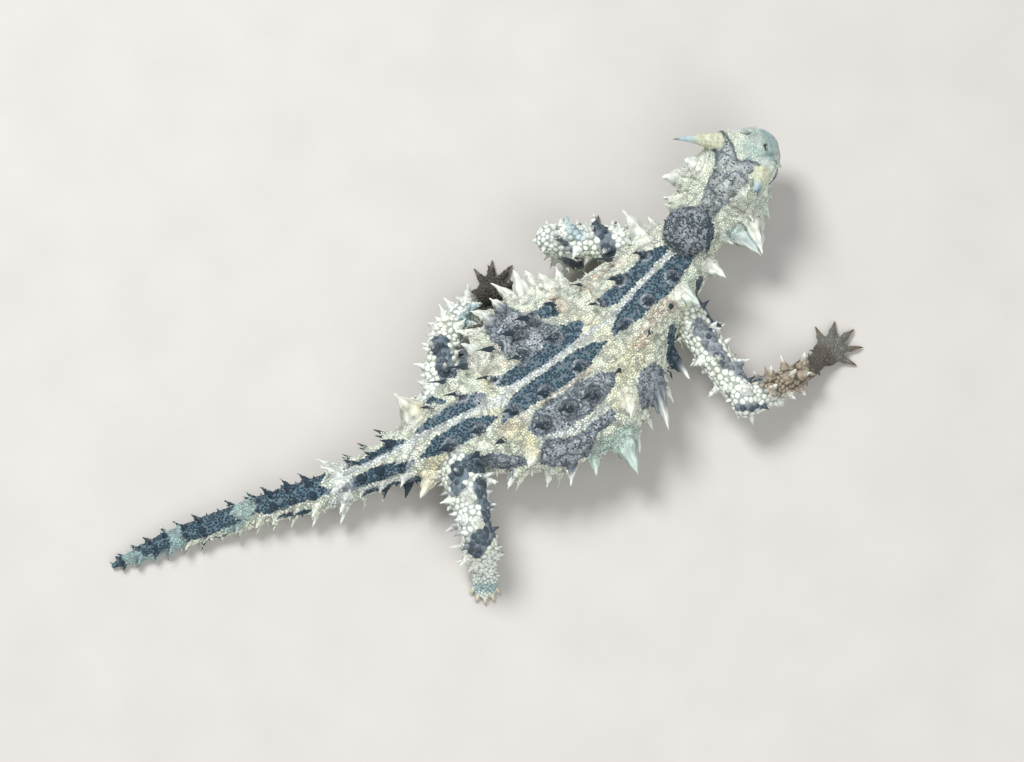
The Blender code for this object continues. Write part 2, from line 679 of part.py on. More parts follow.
def lids(centre, axis, collection):
    """A ring of flesh round the eye, with the upper and the lower lid in one."""
    bpy.ops.mesh.primitive_torus_add(
        major_radius=LIDS_RADIUS * MM, minor_radius=LIDS_THICKNESS * MM, major_segments=12, minor_segments=5
    )
    made = bpy.context.object
    mesh = made.data
    mesh.transform(Matrix.Translation(centre * MM) @ axis.to_track_quat("Z", "Y").to_matrix().to_4x4())
    bpy.data.objects.remove(made)
    obj = bpy.data.objects.new("lids", mesh)
    collection.objects.link(obj)
    return obj


def mouth_groove(collection):
    """A thin slab along the mouth line, hollowed so that it bites only a little way into the skin."""
    start, end = length_at(-MOUTH_CORNER), BODY_LENGTH + 1.0
    rings = []
    for length in np.linspace(start, end, 9):
        inside = min(length, BODY_LENGTH - 0.6)
        forward, left = body_axes(inside)
        x, y = section_at(inside)[:2]
        dip = 1.2 * ((length - start) / (end - start) - 0.4) ** 2
        middle = Vector((x, y, MOUTH_HEIGHT + dip)) + forward * (length - inside)
        corners = ((-1, -1), (1, -1), (1, 1), (-1, 1))
        rings.append([middle + left * side * 9.0 + UP * (rise * MOUTH_GAP / 2) for side, rise in corners])
    groove = loft("mouth_groove", rings, collection)
    core = body_loft("core", start - 2.0, BODY_LENGTH - MOUTH_DEPTH, 16, 1.8, collection, outset=-MOUTH_DEPTH)
    combine(groove, "DIFFERENCE", [core])
    return groove


def make_eye_and_horn(side, collection, cutters):
    """One eye and one brow horn as nodes, and the holes that they leave in the head."""
    eye_centre = head_point(side, EYE_PLACE)
    eye = ball("eye", eye_centre, (EYE_RADIUS,) * 3, collection, 12, 8)
    finish_node(eye, "eye_" + SIDE_NAMES[side], [], [], "eye", cutters)
    horn = brow_horn(side, collection)
    finish_node(horn, "brow_horn_" + SIDE_NAMES[side], [], [], "horn", cutters)
    socket = ball("socket", eye_centre, (EYE_RADIUS + GAP,) * 3, cutters, 14, 10)
    return [socket, brow_horn(side, cutters, outset=GAP)]


def head_side_pieces(side, collection):
    """The brow, cheek, lids, nostril rim and thorns of one side."""
    out = head_lean(side, EYE_PLACE[0], (-0.12, 1.0, 0.25))
    pieces = [
        ball("brow", head_point(side, BROW_PLACE), BROW_HALVES, collection),
        ball("cheek", head_point(side, CHEEK_PLACE), CHEEK_HALVES, collection),
        lids(head_point(side, EYE_PLACE) + out * 0.85, out, collection),
    ]
    nostril, up = nostril_frame(side)
    pieces.append(cone("rim", nostril - up * 0.8, up, 1.5, (NOSTRIL_RIM * 1.2, NOSTRIL_RIM), collection, 8))
    for place, lengths, radius, lean in HEAD_THORNS.values():
        reach = lengths[list(SIDE_NAMES).index(side)]
        pieces.append(thorn(head_point(side, place), head_lean(side, place[0], lean), reach, radius, collection))
    return pieces


def nostril_frame(side):
    """Where a nostril opens and the way that it faces."""
    return head_point(side, NOSTRIL_PLACE), head_lean(side, NOSTRIL_PLACE[0], (-0.35, 0.55, 0.9))


def make_head(collection, cutters):
    """The head, with the eyes and the brow horns set in it."""
    start = DIVISIONS["neck"] + GAP / 2
    head = body_loft("head", start, BODY_LENGTH, 18, 1.7, collection)
    pieces = []
    holes = [mouth_groove(cutters), neighbour_cutter(DIVISIONS["neck"], -1, 16, cutters)]
    for side in SIDE_NAMES:
        pieces += head_side_pieces(side, collection)
        holes += make_eye_and_horn(side, collection, cutters)
        nostril, up = nostril_frame(side)
        holes.append(cone("nostril", nostril - up * 0.5, up, 1.8, (NOSTRIL_RADIUS,) * 2, cutters, 8))
        holes.append(ball("ear", head_point(side, EAR_PLACE), EAR_HALVES, cutters, 8, 6))
    finish_node(head, "head", pieces, holes, "skin", cutters)


# Limbs

def limb_thorns(part, stretch, others, rng, collection):
    """Thorns round one straight length of a limb, counted from its upper side."""
    start, end, first, last = stretch
    axis = (end - start).normalized()
    above = UP - axis * axis.z
    if above.length < 0.35:
        above = axis.orthogonal()
    above.normalize()
    beside = axis.cross(above)
    made = []
    for share, turn, reach, radius in LIMB_THORNS[part]:
        turn = math.radians(turn + rng.uniform(-8.0, 8.0))
        out = above * math.cos(turn) + beside * math.sin(turn)
        thickness = (first + (last - first) * share) * (1 + LIMB_SWELL * math.sin(math.pi * share))
        root = start.lerp(end, share) + out * (thickness - 0.15)
        direction = (out + axis * 0.25).normalized()
        tip = root + direction * reach * rng.uniform(0.9, 1.15)
        crowded = any(room_beside(point, other) < radius + 0.6 for point in (root, tip)
                      for other in others + great_stretches())
        if tip.z > 0.8 and not crowded and clear_of_body(root, tip, radius + 1.6):
            made.append(thorn(root, direction, (tip - root).length, radius, collection))
    return made


def make_limb(name, limb, collection, cutters):
    """The upper length, the lower length and the foot, each trimmed clear of what it grows from."""
    rng = random.Random(SEED + list(LIMBS).index(name))
    pair, side = name.split("_")
    upper_name, lower_name, foot_name = (f"{part}_{side}" for part in LIMB_PARTS[pair])
    upper, lower, foot = limb_lengths(limb)
    body = body_loft("body", DIVISIONS["tail_base"] - 4.0, DIVISIONS["torso"] + 2.0, 22, 3.2, cutters, outset=GAP)
    obj = limb_tube(upper_name, *upper[:2], upper[2:], collection)
    finish_node(obj, upper_name, limb_thorns("upper", upper, [lower], rng, collection), [body], "skin", cutters)
    above = limb_tube("above", *upper[:2], upper[2:], cutters, outset=GAP)
    obj = limb_tube(lower_name, *lower[:2], lower[2:], collection)
    thorns = limb_thorns("lower", lower, [upper, foot], rng, collection)
    finish_node(obj, lower_name, thorns, [above], "skin", cutters)
    make_foot(foot_name, limb, lower, collection, cutters)


def make_foot(name, limb, lower, collection, cutters):
    """A flat palm and five short digits with claws, spread round the way that the foot points."""
    heading = math.radians(limb["heading"])
    centre = Vector((*limb["palm"], PALM_HEIGHT))
    palm = ball("palm", centre, PALM, collection, 10, 6, turn=heading)
    wrist, wrist_radius = Vector(limb["wrist"][:3]), limb["wrist"][3]
    pieces = [limb_tube("heel", wrist, centre, (wrist_radius * 0.95, 1.6), collection, sides=7, swell=0.0)]
    spread, share = limb.get("digits", (1.0, 1.0))
    for angle, reach in DIGIT_REACH.items():
        turn = heading + math.radians(angle * spread)
        out = Vector((math.sin(turn), -math.cos(turn), 0.0))
        knuckle = centre + out * PALM[0] * 0.6
        end = centre + out * reach * share
        end.z = DIGIT_TIP_HEIGHT
        axis = (end - knuckle).normalized()
        rings = [
            circle(knuckle, axis, DIGIT_RADII[0], 6),
            circle(end, axis, DIGIT_RADII[1], 6),
            circle(end + axis * DIGIT_RADII[1] * 0.8, axis, DIGIT_RADII[1] * 0.6, 6),
        ]
        pieces.append(loft("digit", rings, collection))
        claw = (CLAW[0] * share, CLAW[1])
        pieces.append(small_thorn(end + out * DIGIT_RADII[1] * 0.6, out - UP * 0.18, *claw, collection))
    above = limb_tube("above", *lower[:2], lower[2:], cutters, outset=GAP)
    finish_node(palm, name, pieces, [above], "skin", cutters)


def centre_on_floor(objects):
    """Moves the model so that the middle of its box stands over the origin."""
    points = np.array([vert.co for obj in objects for vert in obj.data.vertices])
    middle = (points.min(axis=0) + points.max(axis=0)) / 2
    for obj in objects:
        obj.data.transform(Matrix.Translation((-middle[0], -middle[1], 0.0)))


def main():
    for obj in list(bpy.data.objects):
        bpy.data.objects.remove(obj)
    model = bpy.data.collections.new("thorny_devil")
    cutters = bpy.data.collections.new("cutters")
    for collection in (model, cutters):
        bpy.context.scene.collection.children.link(collection)
    for name, (colour, roughness) in MATERIALS.items():
        make_material(name, colour, roughness)
    make_body(model, cutters)
    make_head(model, cutters)
    for name, limb in LIMBS.items():
        make_limb(name, limb, model, cutters)
    centre_on_floor(list(model.objects))


main()
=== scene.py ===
"""The looks of the thorny devil: one skin with its thorns and scales, and the eyes, lids, horns and claws.

Shapes are worked out in millimetres in the frame of the design, where +Z is up, the animal faces -Y and
its left side is +X, and are then moved to where the solids stand. Girths and angles go from the middle of
the back, plus to the left and minus to the right.
"""

import itertools
import math
from collections import namedtuple

import bmesh
import bpy
import numpy as np
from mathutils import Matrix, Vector
from mathutils.bvhtree import BVHTree
from mathutils.kdtree import KDTree

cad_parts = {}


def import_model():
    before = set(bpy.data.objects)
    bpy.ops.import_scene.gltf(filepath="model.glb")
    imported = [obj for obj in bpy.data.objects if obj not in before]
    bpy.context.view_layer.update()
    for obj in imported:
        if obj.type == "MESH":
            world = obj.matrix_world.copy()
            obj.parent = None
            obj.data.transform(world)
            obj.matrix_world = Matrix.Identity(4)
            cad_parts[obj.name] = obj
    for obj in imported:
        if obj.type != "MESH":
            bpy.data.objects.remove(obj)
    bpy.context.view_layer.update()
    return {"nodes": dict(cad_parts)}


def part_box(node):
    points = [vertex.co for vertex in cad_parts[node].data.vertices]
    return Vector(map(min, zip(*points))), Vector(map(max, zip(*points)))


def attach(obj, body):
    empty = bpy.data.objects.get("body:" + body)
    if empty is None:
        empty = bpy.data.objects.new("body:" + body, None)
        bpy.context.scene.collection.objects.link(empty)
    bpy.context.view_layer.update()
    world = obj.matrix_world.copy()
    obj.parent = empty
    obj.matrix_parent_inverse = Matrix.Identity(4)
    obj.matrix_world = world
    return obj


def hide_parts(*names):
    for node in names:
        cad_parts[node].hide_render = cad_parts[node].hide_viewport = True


MM = 0.001
SEED = 11
SIDES = {1: "left", -1: "right"}
UP = np.array([0.0, 0.0, 1.0])

# The body from tail tip to nose: x, y, height of the back, half width, height of the belly, squareness
BODY_SECTIONS = np.array((
    (20.2, 85.9, 1.7, 0.70, -0.10, 2.0),
    (18.2, 78.6, 3.4, 1.75, -0.12, 2.0),
    (14.2, 67.4, 5.0, 2.40, -0.12, 2.0),
    (8.2, 53.1, 7.2, 3.05, 0.45, 2.0),
    (3.8, 43.8, 8.9, 3.50, 1.5, 2.0),
    (0.6, 34.0, 10.9, 4.00, 2.6, 2.1),
    (-1.9, 25.4, 13.4, 6.0, 3.7, 2.2),
    (-3.7, 20.1, 15.4, 8.4, 4.3, 2.3),
    (-5.8, 12.7, 17.7, 11.9, 4.7, 2.35),
    (-7.8, 3.6, 20.0, 16.3, 4.7, 2.4),
    (-8.8, -5.1, 21.0, 17.4, 4.7, 2.4),
    (-8.7, -15.8, 20.9, 14.0, 5.2, 2.35),
    (-6.7, -26.0, 20.0, 10.4, 5.9, 2.3),
    (-4.9, -36.0, 17.9, 8.2, 6.7, 2.2),
    (-2.4, -46.0, 16.1, 5.7, 7.4, 2.1),
    (-0.4, -51.6, 16.6, 5.6, 7.6, 2.1),
    (0.8, -56.0, 19.2, 6.7, 7.6, 2.2),
    (1.9, -61.7, 20.4, 7.0, 8.0, 2.4),
    (2.8, -66.2, 18.6, 5.8, 8.7, 2.4),
    (3.4, -69.0, 16.0, 4.1, 9.7, 2.3),
    (3.7, -70.9, 14.0, 2.0, 11.2, 2.0),
))
FLANK_SHARE = 0.45  # height of the widest level within a section
SKIN_DEPTH = 0.15  # how far the skin lies inside the sections
TAIL_PARTS = ((0.0, 24.0), (24.0, 45.0), (45.0, 64.0))
NECK_START, NECK_MIDDLE = 136.0, 143.0

# Limb joints: x, y, z, radius. The palm has x and y, and the way it points, in degrees from -Y towards +X.
LIMBS = {
    "front_right": (
        (-10.5, -33.6, 11.6, 3.6), (-36.0, -30.0, 9.0, 3.1), (-37.2, -45.4, 4.0, 2.2), (-36.3, -51.9), 4.0,
    ),
    "front_left": (
        (1.0, -36.2, 11.4, 3.6), (14.8, -22.4, 12.6, 3.1), (10.3, -25.6, 3.6, 2.2), (11.2, -31.2), 12.0,
    ),
    "hind_right": (
        (-8.6, 20.6, 10.2, 4.2), (-24.8, 29.4, 12.6, 3.4), (-27.6, 30.0, 3.6, 2.4), (-28.7, 31.0), -130.0,
    ),
    "hind_left": ((-1.6, 19.0, 9.6, 4.2), (11.2, 8.8, 9.6, 3.3), (17.0, -3.0, 4.4, 2.4), (17.2, -8.6), 14.0),
}
PALM_HALVES, PALM_HEIGHT = (2.8, 3.0, 1.8), 1.5
DIGITS = {-66.0: 3.9, -32.0: 5.0, 0.0: 5.4, 32.0: 5.0, 66.0: 4.0}  # angle: distance to the claw
CLOSE_FOOT = {"hind_right": (0.62, 0.72)}  # how wide and how far its digits spread, as shares of the others'
DIGIT_RADII, DIGIT_TIP_HEIGHT = (1.0, 0.72), 0.85
CLAW_LENGTH, CLAW_RADIUS = 2.2, 0.52

# Head places: distance in front of the origin, height, distance from the midline
EYE_PLACE, EYE_RADIUS = (63.4, 15.1, 5.4), 1.75
BROW_PLACE, BROW_HALVES = (61.3, 17.9, 4.8), (2.6, 3.9, 2.7)
CHEEK_PLACE, CHEEK_HALVES = (58.3, 11.0, 4.9), (2.8, 4.3, 2.7)
NOSTRIL_PATH = ((158.9, 2.1), (158.1, 2.4), (157.8, 3.1))  # in places along the body and round it
EAR_PLACE = (57.4, 14.6, 7.0)
HORN_PLACE, HORN_RADIUS = (60.3, 19.5, 5.6), 1.75
# Length of each horn, and its lean back, out and up
HORNS = {1: (10.4, (0.60, 0.55, 0.60)), -1: (8.6, (0.58, 0.36, 0.68))}
MOUTH_HEIGHT, MOUTH_CORNER = 11.6, 60.0
FACE_START = 150.0  # along the body
HEAD_THORNS = (  # place, (length on the left, length on the right), radius, lean back, out and up, hollowness
    ((56.2, 17.0, 4.5), (3.6, 2.6), 2.3, (0.45, 0.75, 0.6), 1.1),
    ((54.8, 11.4, 6.4), (5.0, 8.4), 2.9, (0.62, 1.0, 0.0), 1.3),
    ((58.8, 9.8, 7.1), (2.4, 3.0), 1.1, (0.4, 1.0, -0.1), 1.45),
    ((61.6, 10.2, 6.9), (1.6, 2.0), 0.85, (0.25, 1.0, 0.0), 1.45),
    ((56.6, 8.8, 5.6), (1.8, 1.8), 0.9, (0.4, 0.9, -0.4), 1.45),
    ((66.6, 12.6, 5.2), (1.0, 1.0), 0.6, (0.1, 1.0, 0.1), 1.45),
    ((60.0, 13.6, 7.2), (1.6, 1.6), 0.8, (0.5, 1.0, 0.25), 1.45),
    ((56.4, 18.7, 1.9), (1.4, 1.4), 0.8, (0.6, 0.3, 0.8), 1.45),
)
CHEEK_PLATES = (  # raised plates of the head's right side, as outlines of places (length along, girth)
    ((150.0, -4.4), (150.4, -6.4), (148.6, -9.0), (145.6, -7.4), (144.6, -5.4), (144.2, -3.8),
     (147.0, -3.9)),
    ((142.4, -2.6), (142.6, -5.2), (145.2, -8.0), (143.4, -11.0), (139.6, -10.6), (138.0, -6.4),
     (139.6, -3.4)),
)
KNOB_CENTRE, KNOB_HALVES = np.array((-3.3, -42.9, 18.6)), np.array((4.6, 4.8, 4.5))
KNOB_RIM, KNOB_FOLD_FLOOR = 1.12, 14.0  # the knob's fold, as a share of its halves, and how low it runs
TUBERCLE_CENTRE, TUBERCLE_RADIUS = np.array((-1.3, -49.8, 16.4)), 1.4

# Thorns of the torso: length along the body, angle, then length, radius, lean back
BACK_ROWS = (
    (((70, 25), (76, 19), (83, 13), (90, 11), (98, 10), (110, 13), (117, 17), (124.5, 22)), 4.0, 1.5, 0.8),
    (((75, 42), (80, 34), (86.5, 30), (92, 28), (97, 30), (103.6, 32), (112, 36), (120, 42)), 4.2, 1.6, 0.75),
)
GREAT_THORNS = {
    1: (
        (132.0, 60, 2.6, 1.2, 0.0), (127.5, 50, 7.5, 2.6, 0.1), (108.0, 61, 4.2, 1.6, -0.1),
        (104.5, 50, 6.0, 2.5, 0.3), (102.8, 67, 4.8, 1.7, 0.3), (99.0, 57, 7.0, 2.4, 0.0),
        (106.0, 92, 6.4, 2.2, 0.4), (98.5, 95, 7.0, 2.5, 0.4), (93.5, 60, 4.2, 1.7, 0.2),
        (92.0, 94, 5.0, 1.8, 0.5), (89.3, 52, 4.6, 1.8, 0.0), (86.0, 90, 4.4, 1.6, 0.5),
        (82.8, 40, 5.6, 1.9, 0.1), (80.3, 88, 4.2, 1.5, 0.5), (66.0, 38, 7.6, 2.9, -0.1),
    ),
    -1: (
        (132.0, 64, 6.8, 2.0, 0.4), (123.0, 50, 8.0, 2.3, 0.35), (112.5, 92, 6.6, 1.8, 0.5),
        (106.5, 86, 9.6, 3.0, 0.7), (108.5, 106, 5.2, 1.5, 0.4), (101.0, 58, 6.5, 2.3, 0.6),
        (103.0, 102, 4.4, 1.4, 0.4), (97.5, 94, 8.0, 2.9, 0.35), (100.5, 101, 5.6, 1.8, 0.7),
        (92.2, 94, 3.8, 1.4, 0.4), (88.0, 90, 4.4, 1.5, 0.3), (84.6, 90, 3.6, 1.3, 0.3),
        (82.4, 60, 4.4, 1.7, 0.1), (79.4, 88, 3.8, 1.4, 0.6), (64.6, 84, 5.0, 2.0, 0.5),
    ),
}
# Low rows of the flanks: angle, then first and last length, spacing, and a thorn's length, radius and lean
LOW_ROWS = {112.0: (68.0, 128.0, 6.2, 3.4, 1.2, 0.45), 134.0: (72.0, 130.0, 8.4, 1.9, 1.1, 0.3)}
# Rings of thorns on the tail, with one great ring
TAIL_RING_ANGLES, TAIL_RING_SPACING, TAIL_THORN = (24.0, 66.0, 106.0), 4.4, (2.9, 1.05, 0.35)
TAIL_GREAT_RING, TAIL_GREAT_THORN = 46.8, (4.4, 1.5, 0.5)
NECK_THORNS = (  # distance from the neck's back end, angle, (length left, length right), radius
    (5.6, 90.0, (3.0, 7.6), 1.9),
    (2.6, 72.0, (2.2, 3.0), 1.1),
    (10.3, 74.0, (2.4, 2.8), 1.1),
    (4.6, 122.0, (1.8, 1.8), 1.0),
    (9.0, 124.0, (1.8, 1.8), 1.0),
)
LIMB_THORNS = (  # share along a limb's length, turn from its upper side, length, radius
    (0.30, 20, 2.8, 1.1), (0.42, -35, 3.2, 1.2), (0.55, 70, 2.4, 1.0), (0.62, 10, 3.4, 1.25),
    (0.72, -60, 3.0, 1.1), (0.84, 35, 2.8, 1.1), (0.93, -15, 3.6, 1.3), (0.50, 120, 2.0, 0.9),
    (0.78, 105, 2.4, 1.0), (0.36, -95, 2.2, 1.0), (0.60, -110, 2.0, 0.9),
)

# The kinds of marking. The last holds the hide's dark lines together with painted shade in its wrinkles,
# folds and grooves.
MARKS = ("dark", "ash", "warm", "blush", "bright", "mint", "sand", "dark_foot", "teal", "dark_lines_and_shade")
DARK, ASH, WARM, BLUSH, BRIGHT, MINT, SAND, DARK_FOOT, TEAL, DARK_LINES_AND_SHADE = range(len(MARKS))

# Patches of the body, as outlines of places (length along, girth); the last dark patch is painted shade under
# the right side of the neck
DARK_PATCHES_AND_NECK_SHADE = (
    ((132.5, -2.0), (131.0, -4.1), (127.6, -4.6), (120.1, -5.3), (112.5, -4.7), (106.5, -3.3),
     (107.2, -2.1), (110.2, -0.6), (116.2, -0.5), (123.2, -0.55), (129.0, -0.7)),
    ((131.0, 1.2), (127.8, 2.7), (121.2, 3.7), (116.4, 3.6), (110.0, 4.1), (109.4, 2.4), (112.1, 0.6),
     (118.2, 0.5), (128.7, 0.6)),
    ((104.8, 3.1), (102.2, 4.9), (98.6, 5.1), (91.9, 3.5), (85.7, 3.8), (81.3, 3.7), (82.4, 2.0),
     (85.1, 0.65), (94.5, 0.65), (100.4, 0.75), (103.1, 1.9)),
    ((105.2, -3.2), (99.0, -4.9), (93.6, -5.2), (87.4, -5.0), (80.0, -4.9), (81.6, -2.6), (84.4, -0.9),
     (91.1, -0.45), (98.7, -0.45), (102.3, -1.3)),
    ((79.5, -3.4), (77.0, -1.6), (74.6, -0.8), (71.1, -0.7), (66.5, -1.3), (63.2, -3.6), (67.7, -4.7),
     (73.1, -5.0), (76.4, -4.6)),
    ((80.0, 2.2), (77.8, 0.8), (68.6, 0.6), (64.1, 1.3), (67.9, 2.3), (70.8, 3.1), (76.7, 3.6)),
    ((72.4, 4.5), (71.6, 4.0), (69.0, 4.3), (68.0, 6.6), (70.4, 7.6)),
    ((104.0, 9.0), (101.2, 7.4), (98.4, 8.4), (96.2, 10.8), (100.7, 10.3)),
    ((63.0, -3.4), (58.5, -1.6), (54.7, -0.9), (49.7, -0.8), (46.4, -2.4), (50.0, -3.2), (56.6, -4.2),
     (60.2, -4.3)),
    ((62.4, -6.8), (59.3, -6.7), (55.8, -5.5), (51.0, -4.8), (50.4, -6.0), (55.0, -7.4), (59.0, -9.2),
     (63.0, -9.4)),
    ((62.5, 0.8), (59.1, 3.3), (56.7, 2.7), (51.6, 2.3), (48.7, 1.5), (52.6, 0.6), (59.1, 0.6)),
    ((117.7, -11.4), (115.6, -11.0), (113.0, -12.6), (111.0, -15.0), (110.6, -20.0), (113.0, -21.0),
     (114.6, -16.5), (117.2, -13.6)),
    ((45.6, 4.5), (45.3, 1.9), (43.3, 0.5), (45.6, -1.6), (42.4, -2.5), (38.4, -2.0), (35.6, -2.3),
     (32.4, -2.7), (30.0, -1.0), (30.8, 1.0), (29.8, 2.7), (32.0, 5.5)),
    ((26.7, 4.2), (26.6, 2.6), (24.9, 0.3), (27.2, -2.1), (23.5, -2.4), (21.0, -3.1), (15.4, -2.3),
     (14.6, 0.0), (15.7, 2.6), (17.0, 4.2)),
    ((12.1, 2.2), (12.4, 0.1), (12.0, -1.8), (9.9, -2.7), (6.6, -1.8), (5.6, 0.5), (6.1, 2.4)),
    ((-1.0, 2.5), (2.8, 2.0), (2.4, 0.2), (3.0, -2.0), (-1.0, -2.5)),
    ((41.5, -4.4), (38.0, -3.9), (34.0, -3.9), (35.5, -5.4), (40.0, -5.6)),
    ((24.0, -4.3), (18.0, -3.9), (19.0, -5.2), (23.0, -5.2)),
    # Painted shade: the shadow under the right side of the neck
    ((147.0, -9.6), (143.0, -8.8), (139.0, -9.4), (139.5, -13.0), (144.0, -14.0), (147.4, -12.4)),
)
ASH_PATCHES = (
    ((102.2, -8.9), (100.1, -7.2), (95.1, -6.0), (91.3, -5.9), (85.9, -6.5), (83.6, -8.6), (84.0, -10.6),
     (89.6, -12.8), (95.2, -12.4), (101.0, -10.7)),
    ((84.2, -12.5), (85.8, -12.1), (89.0, -14.0), (91.6, -14.8), (94.1, -14.0), (98.0, -14.5),
     (97.4, -16.4), (93.4, -17.0), (91.2, -20.4), (88.0, -20.6), (85.0, -18.6), (82.8, -14.9)),
    ((75.0, -8.9), (78.6, -10.8), (81.0, -12.4), (81.4, -14.8), (77.6, -14.4), (74.6, -12.4)),
    ((100.2, 5.3), (98.0, 8.0), (96.2, 10.6), (95.0, 14.0), (91.9, 17.0), (87.0, 15.0), (86.3, 10.0),
     (87.2, 6.0), (89.0, 4.0), (92.0, 3.7), (97.5, 5.0)),
    ((108.6, -12.9), (106.8, -12.1), (105.5, -12.1), (103.6, -13.4), (102.4, -15.6), (102.8, -19.8),
     (105.5, -21.8), (108.7, -19.5), (109.2, -15.5)),
    ((155.6, 7.0), (154.6, 4.1), (154.0, 2.9), (152.7, 1.2), (151.7, -0.1), (151.9, -1.3), (152.9, -1.8),
     (153.6, -3.3), (153.4, -6.0), (152.6, -6.8), (152.0, -4.3), (150.7, -3.9), (149.3, -4.6),
     (147.7, -3.9), (146.1, -3.4), (144.8, -3.1), (144.1, -3.4), (142.8, -2.9), (136.0, -2.6),
     (136.0, 2.0), (141.0, 1.7), (144.9, 1.9), (147.8, 2.2), (149.0, 3.0), (150.2, 4.3), (150.9, 7.2)),
)
PATCH_REACH = 1.8  # a patch matters to places that are at most this far outside it
FLAT_STREAKS = (  # mark, amount, path of (length along, girth), half width, softness
    (BLUSH, 0.9, ((109.0, -7.6), (119.0, -6.9)), 1.7, 1.0),
    (BLUSH, 0.9, ((115.2, 8.6), (118.8, 7.6)), 1.3, 0.8),
    (BLUSH, 0.8, ((87.0, -5.7), (99.5, -5.6)), 0.6, 0.5),
    (BLUSH, 0.6, ((82.5, 5.0), (87.5, 5.4)), 0.9, 0.8),
    (BLUSH, 0.6, ((79.0, -6.0), (83.5, -6.4)), 0.8, 0.8),
    (WARM, 1.0, ((81.0, -6.5), (83.0, -11.0)), 1.6, 1.2),
    (WARM, 1.0, ((66.5, -6.0), (64.0, -7.5)), 2.4, 1.6),
    (WARM, 0.8, ((104.0, -9.5), (108.0, -9.0)), 2.4, 1.6),
    (WARM, 0.5, ((100.0, -14.0), (106.0, 0.0), (103.0, 8.0)), 2.0, 2.0),
    (WARM, 0.5, ((79.8, -6.3), (80.2, 0.0), (81.0, 5.0)), 1.4, 1.2),
    (WARM, 0.7, ((66.0, 4.5), (63.8, 7.0)), 1.8, 1.2),
    (WARM, 0.6, ((126.0, -7.6), (122.0, -9.5)), 1.6, 1.2),
    (BRIGHT, 1.0, ((131.0, 0.0), (108.5, -0.3), (104.5, 0.4), (84.0, 0.2), (80.5, -0.6), (77.5, 0.1),
     (46.0, 0.4)), 0.45, 0.25),
    (BRIGHT, 0.9, ((84.6, -11.4), (89.5, -13.4), (93.1, -13.8), (97.0, -13.3)), 0.5, 0.3),
    (BRIGHT, 0.7, ((49.0, 3.8), (45.6, -6.0)), 2.4, 1.0),
    (BRIGHT, 0.7, ((78.0, 1.5), (82.0, -1.5)), 1.0, 1.0),
    (BRIGHT, 0.7, ((63.0, 0.0), (60.0, -5.6), (50.0, -4.0)), 0.7, 0.5),
    (MINT, 0.8, ((98.0, -21.0), (93.0, -21.0)), 2.6, 1.8),
    (MINT, 0.5, ((127.0, -6.5), (123.0, -8.0)), 1.4, 1.2),
    (TEAL, 0.5, ((139.0, -6.5), (142.5, -7.5)), 0.9, 0.8),
    (TEAL, 0.7, ((31.0, 3.5), (25.0, -2.0)), 2.6, 1.0),
    (TEAL, 0.8, ((16.0, 4.0), (12.0, -3.0), (3.5, 0.0)), 2.4, 1.0),
    (TEAL, 0.35, ((91.0, 14.0), (94.0, 12.0)), 1.2, 1.0),
    (TEAL, 0.7, ((157.0, -4.5), (160.5, -2.0), (162.5, 1.5)), 1.3, 1.6),
    (TEAL, 0.8, ((150.2, -8.0), (151.4, -4.5), (153.0, -2.0)), 0.6, 0.8),
    (BRIGHT, 0.5, ((153.6, -3.0), (157.0, 1.0)), 2.0, 2.0),
)
LIMB_STREAKS = (  # mark, amount, path of points on the skin, half width, softness
    # Painted shade: the first streak darkens the front of the right upper arm near the shoulder, where shadow
    # falls
    (DARK, 0.9, ((-12.5, -38.2, 13.6), (-19.6, -36.2, 11.6)), 1.7, 0.2),
    (DARK, 0.3, ((-19.0, -32.3, 14.6), (-22.2, -31.9, 14.1), (-28.2, -31.6, 13.0), (-30.6, -32.8, 11.9),
     (-33.9, -35.1, 9.5)), 1.5, 0.3),
    (DARK, 0.8, ((-36.3, -27.8, 10.9), (-37.9, -29.6, 11.0), (-39.0, -32.0, 9.3)), 0.7, 0.2),
    (DARK, 0.8, ((-14.4, 26.2, 14.2), (-12.4, 23.8, 15.2), (-12.6, 21.2, 15.0), (-13.6, 19.4, 13.8)),
     1.9, 0.3),
    (DARK, 0.8, ((-17.3, 22.4, 14.6), (-20.8, 24.2, 14.2), (-22.8, 25.2, 14.3), (-26.4, 27.3, 14.6)),
     1.7, 0.2),
    (DARK, 0.8, ((-26.4, 30.1, 14.9), (-26.4, 31.8, 13.4)), 2.1, 0.3),
    (ASH, 0.6, ((-14.0, 28.5, 11.5), (-20.0, 31.0, 10.8)), 1.8, 0.5),
    (DARK, 0.8, ((11.6, 9.2, 12.6), (7.4, 11.2, 13.4), (4.2, 12.9, 14.2)), 1.9, 0.3),
    (DARK, 0.7, ((4.7, 9.0, 14.8), (6.0, 6.5, 13.0)), 1.6, 0.3),
    (DARK, 0.85, ((10.1, -30.5, 14.2), (7.4, -30.1, 15.5), (4.3, -28.9, 15.0)), 1.6, 0.2),
    (DARK, 0.7, ((12.3, -22.8, 15.3), (9.8, -23.3, 14.0)), 0.7, 0.3),
    (DARK, 0.6, ((10.1, -22.9, 9.5), (8.9, -24.8, 6.7)), 1.2, 0.4),
    (TEAL, 0.6, ((14.2, -27.0, 15.0), (11.0, -26.0, 15.4)), 1.3, 0.6),
    (TEAL, 0.7, ((14.6, -1.6, 7.6), (13.0, 1.5, 9.6)), 1.2, 0.6),
    (TEAL, 0.7, ((-29.0, 35.0, 1.8), (-32.0, 31.0, 1.8)), 1.0, 0.8),
    (SAND, 0.9, ((-35.8, -36.4, 9.0), (-37.2, -45.4, 4.0), (-36.6, -49.0, 2.6)), 3.4, 1.6),
    # Dark brown over the front right and the hind left foot
    (DARK_FOOT, 0.85, ((-36.6, -49.5, 2.0), (-36.3, -56.5, 1.2)), 5.6, 1.6),
    (DARK_FOOT, 1.0, ((17.2, -7.5, 2.0), (17.2, -14.5, 1.2)), 5.6, 1.6),
)

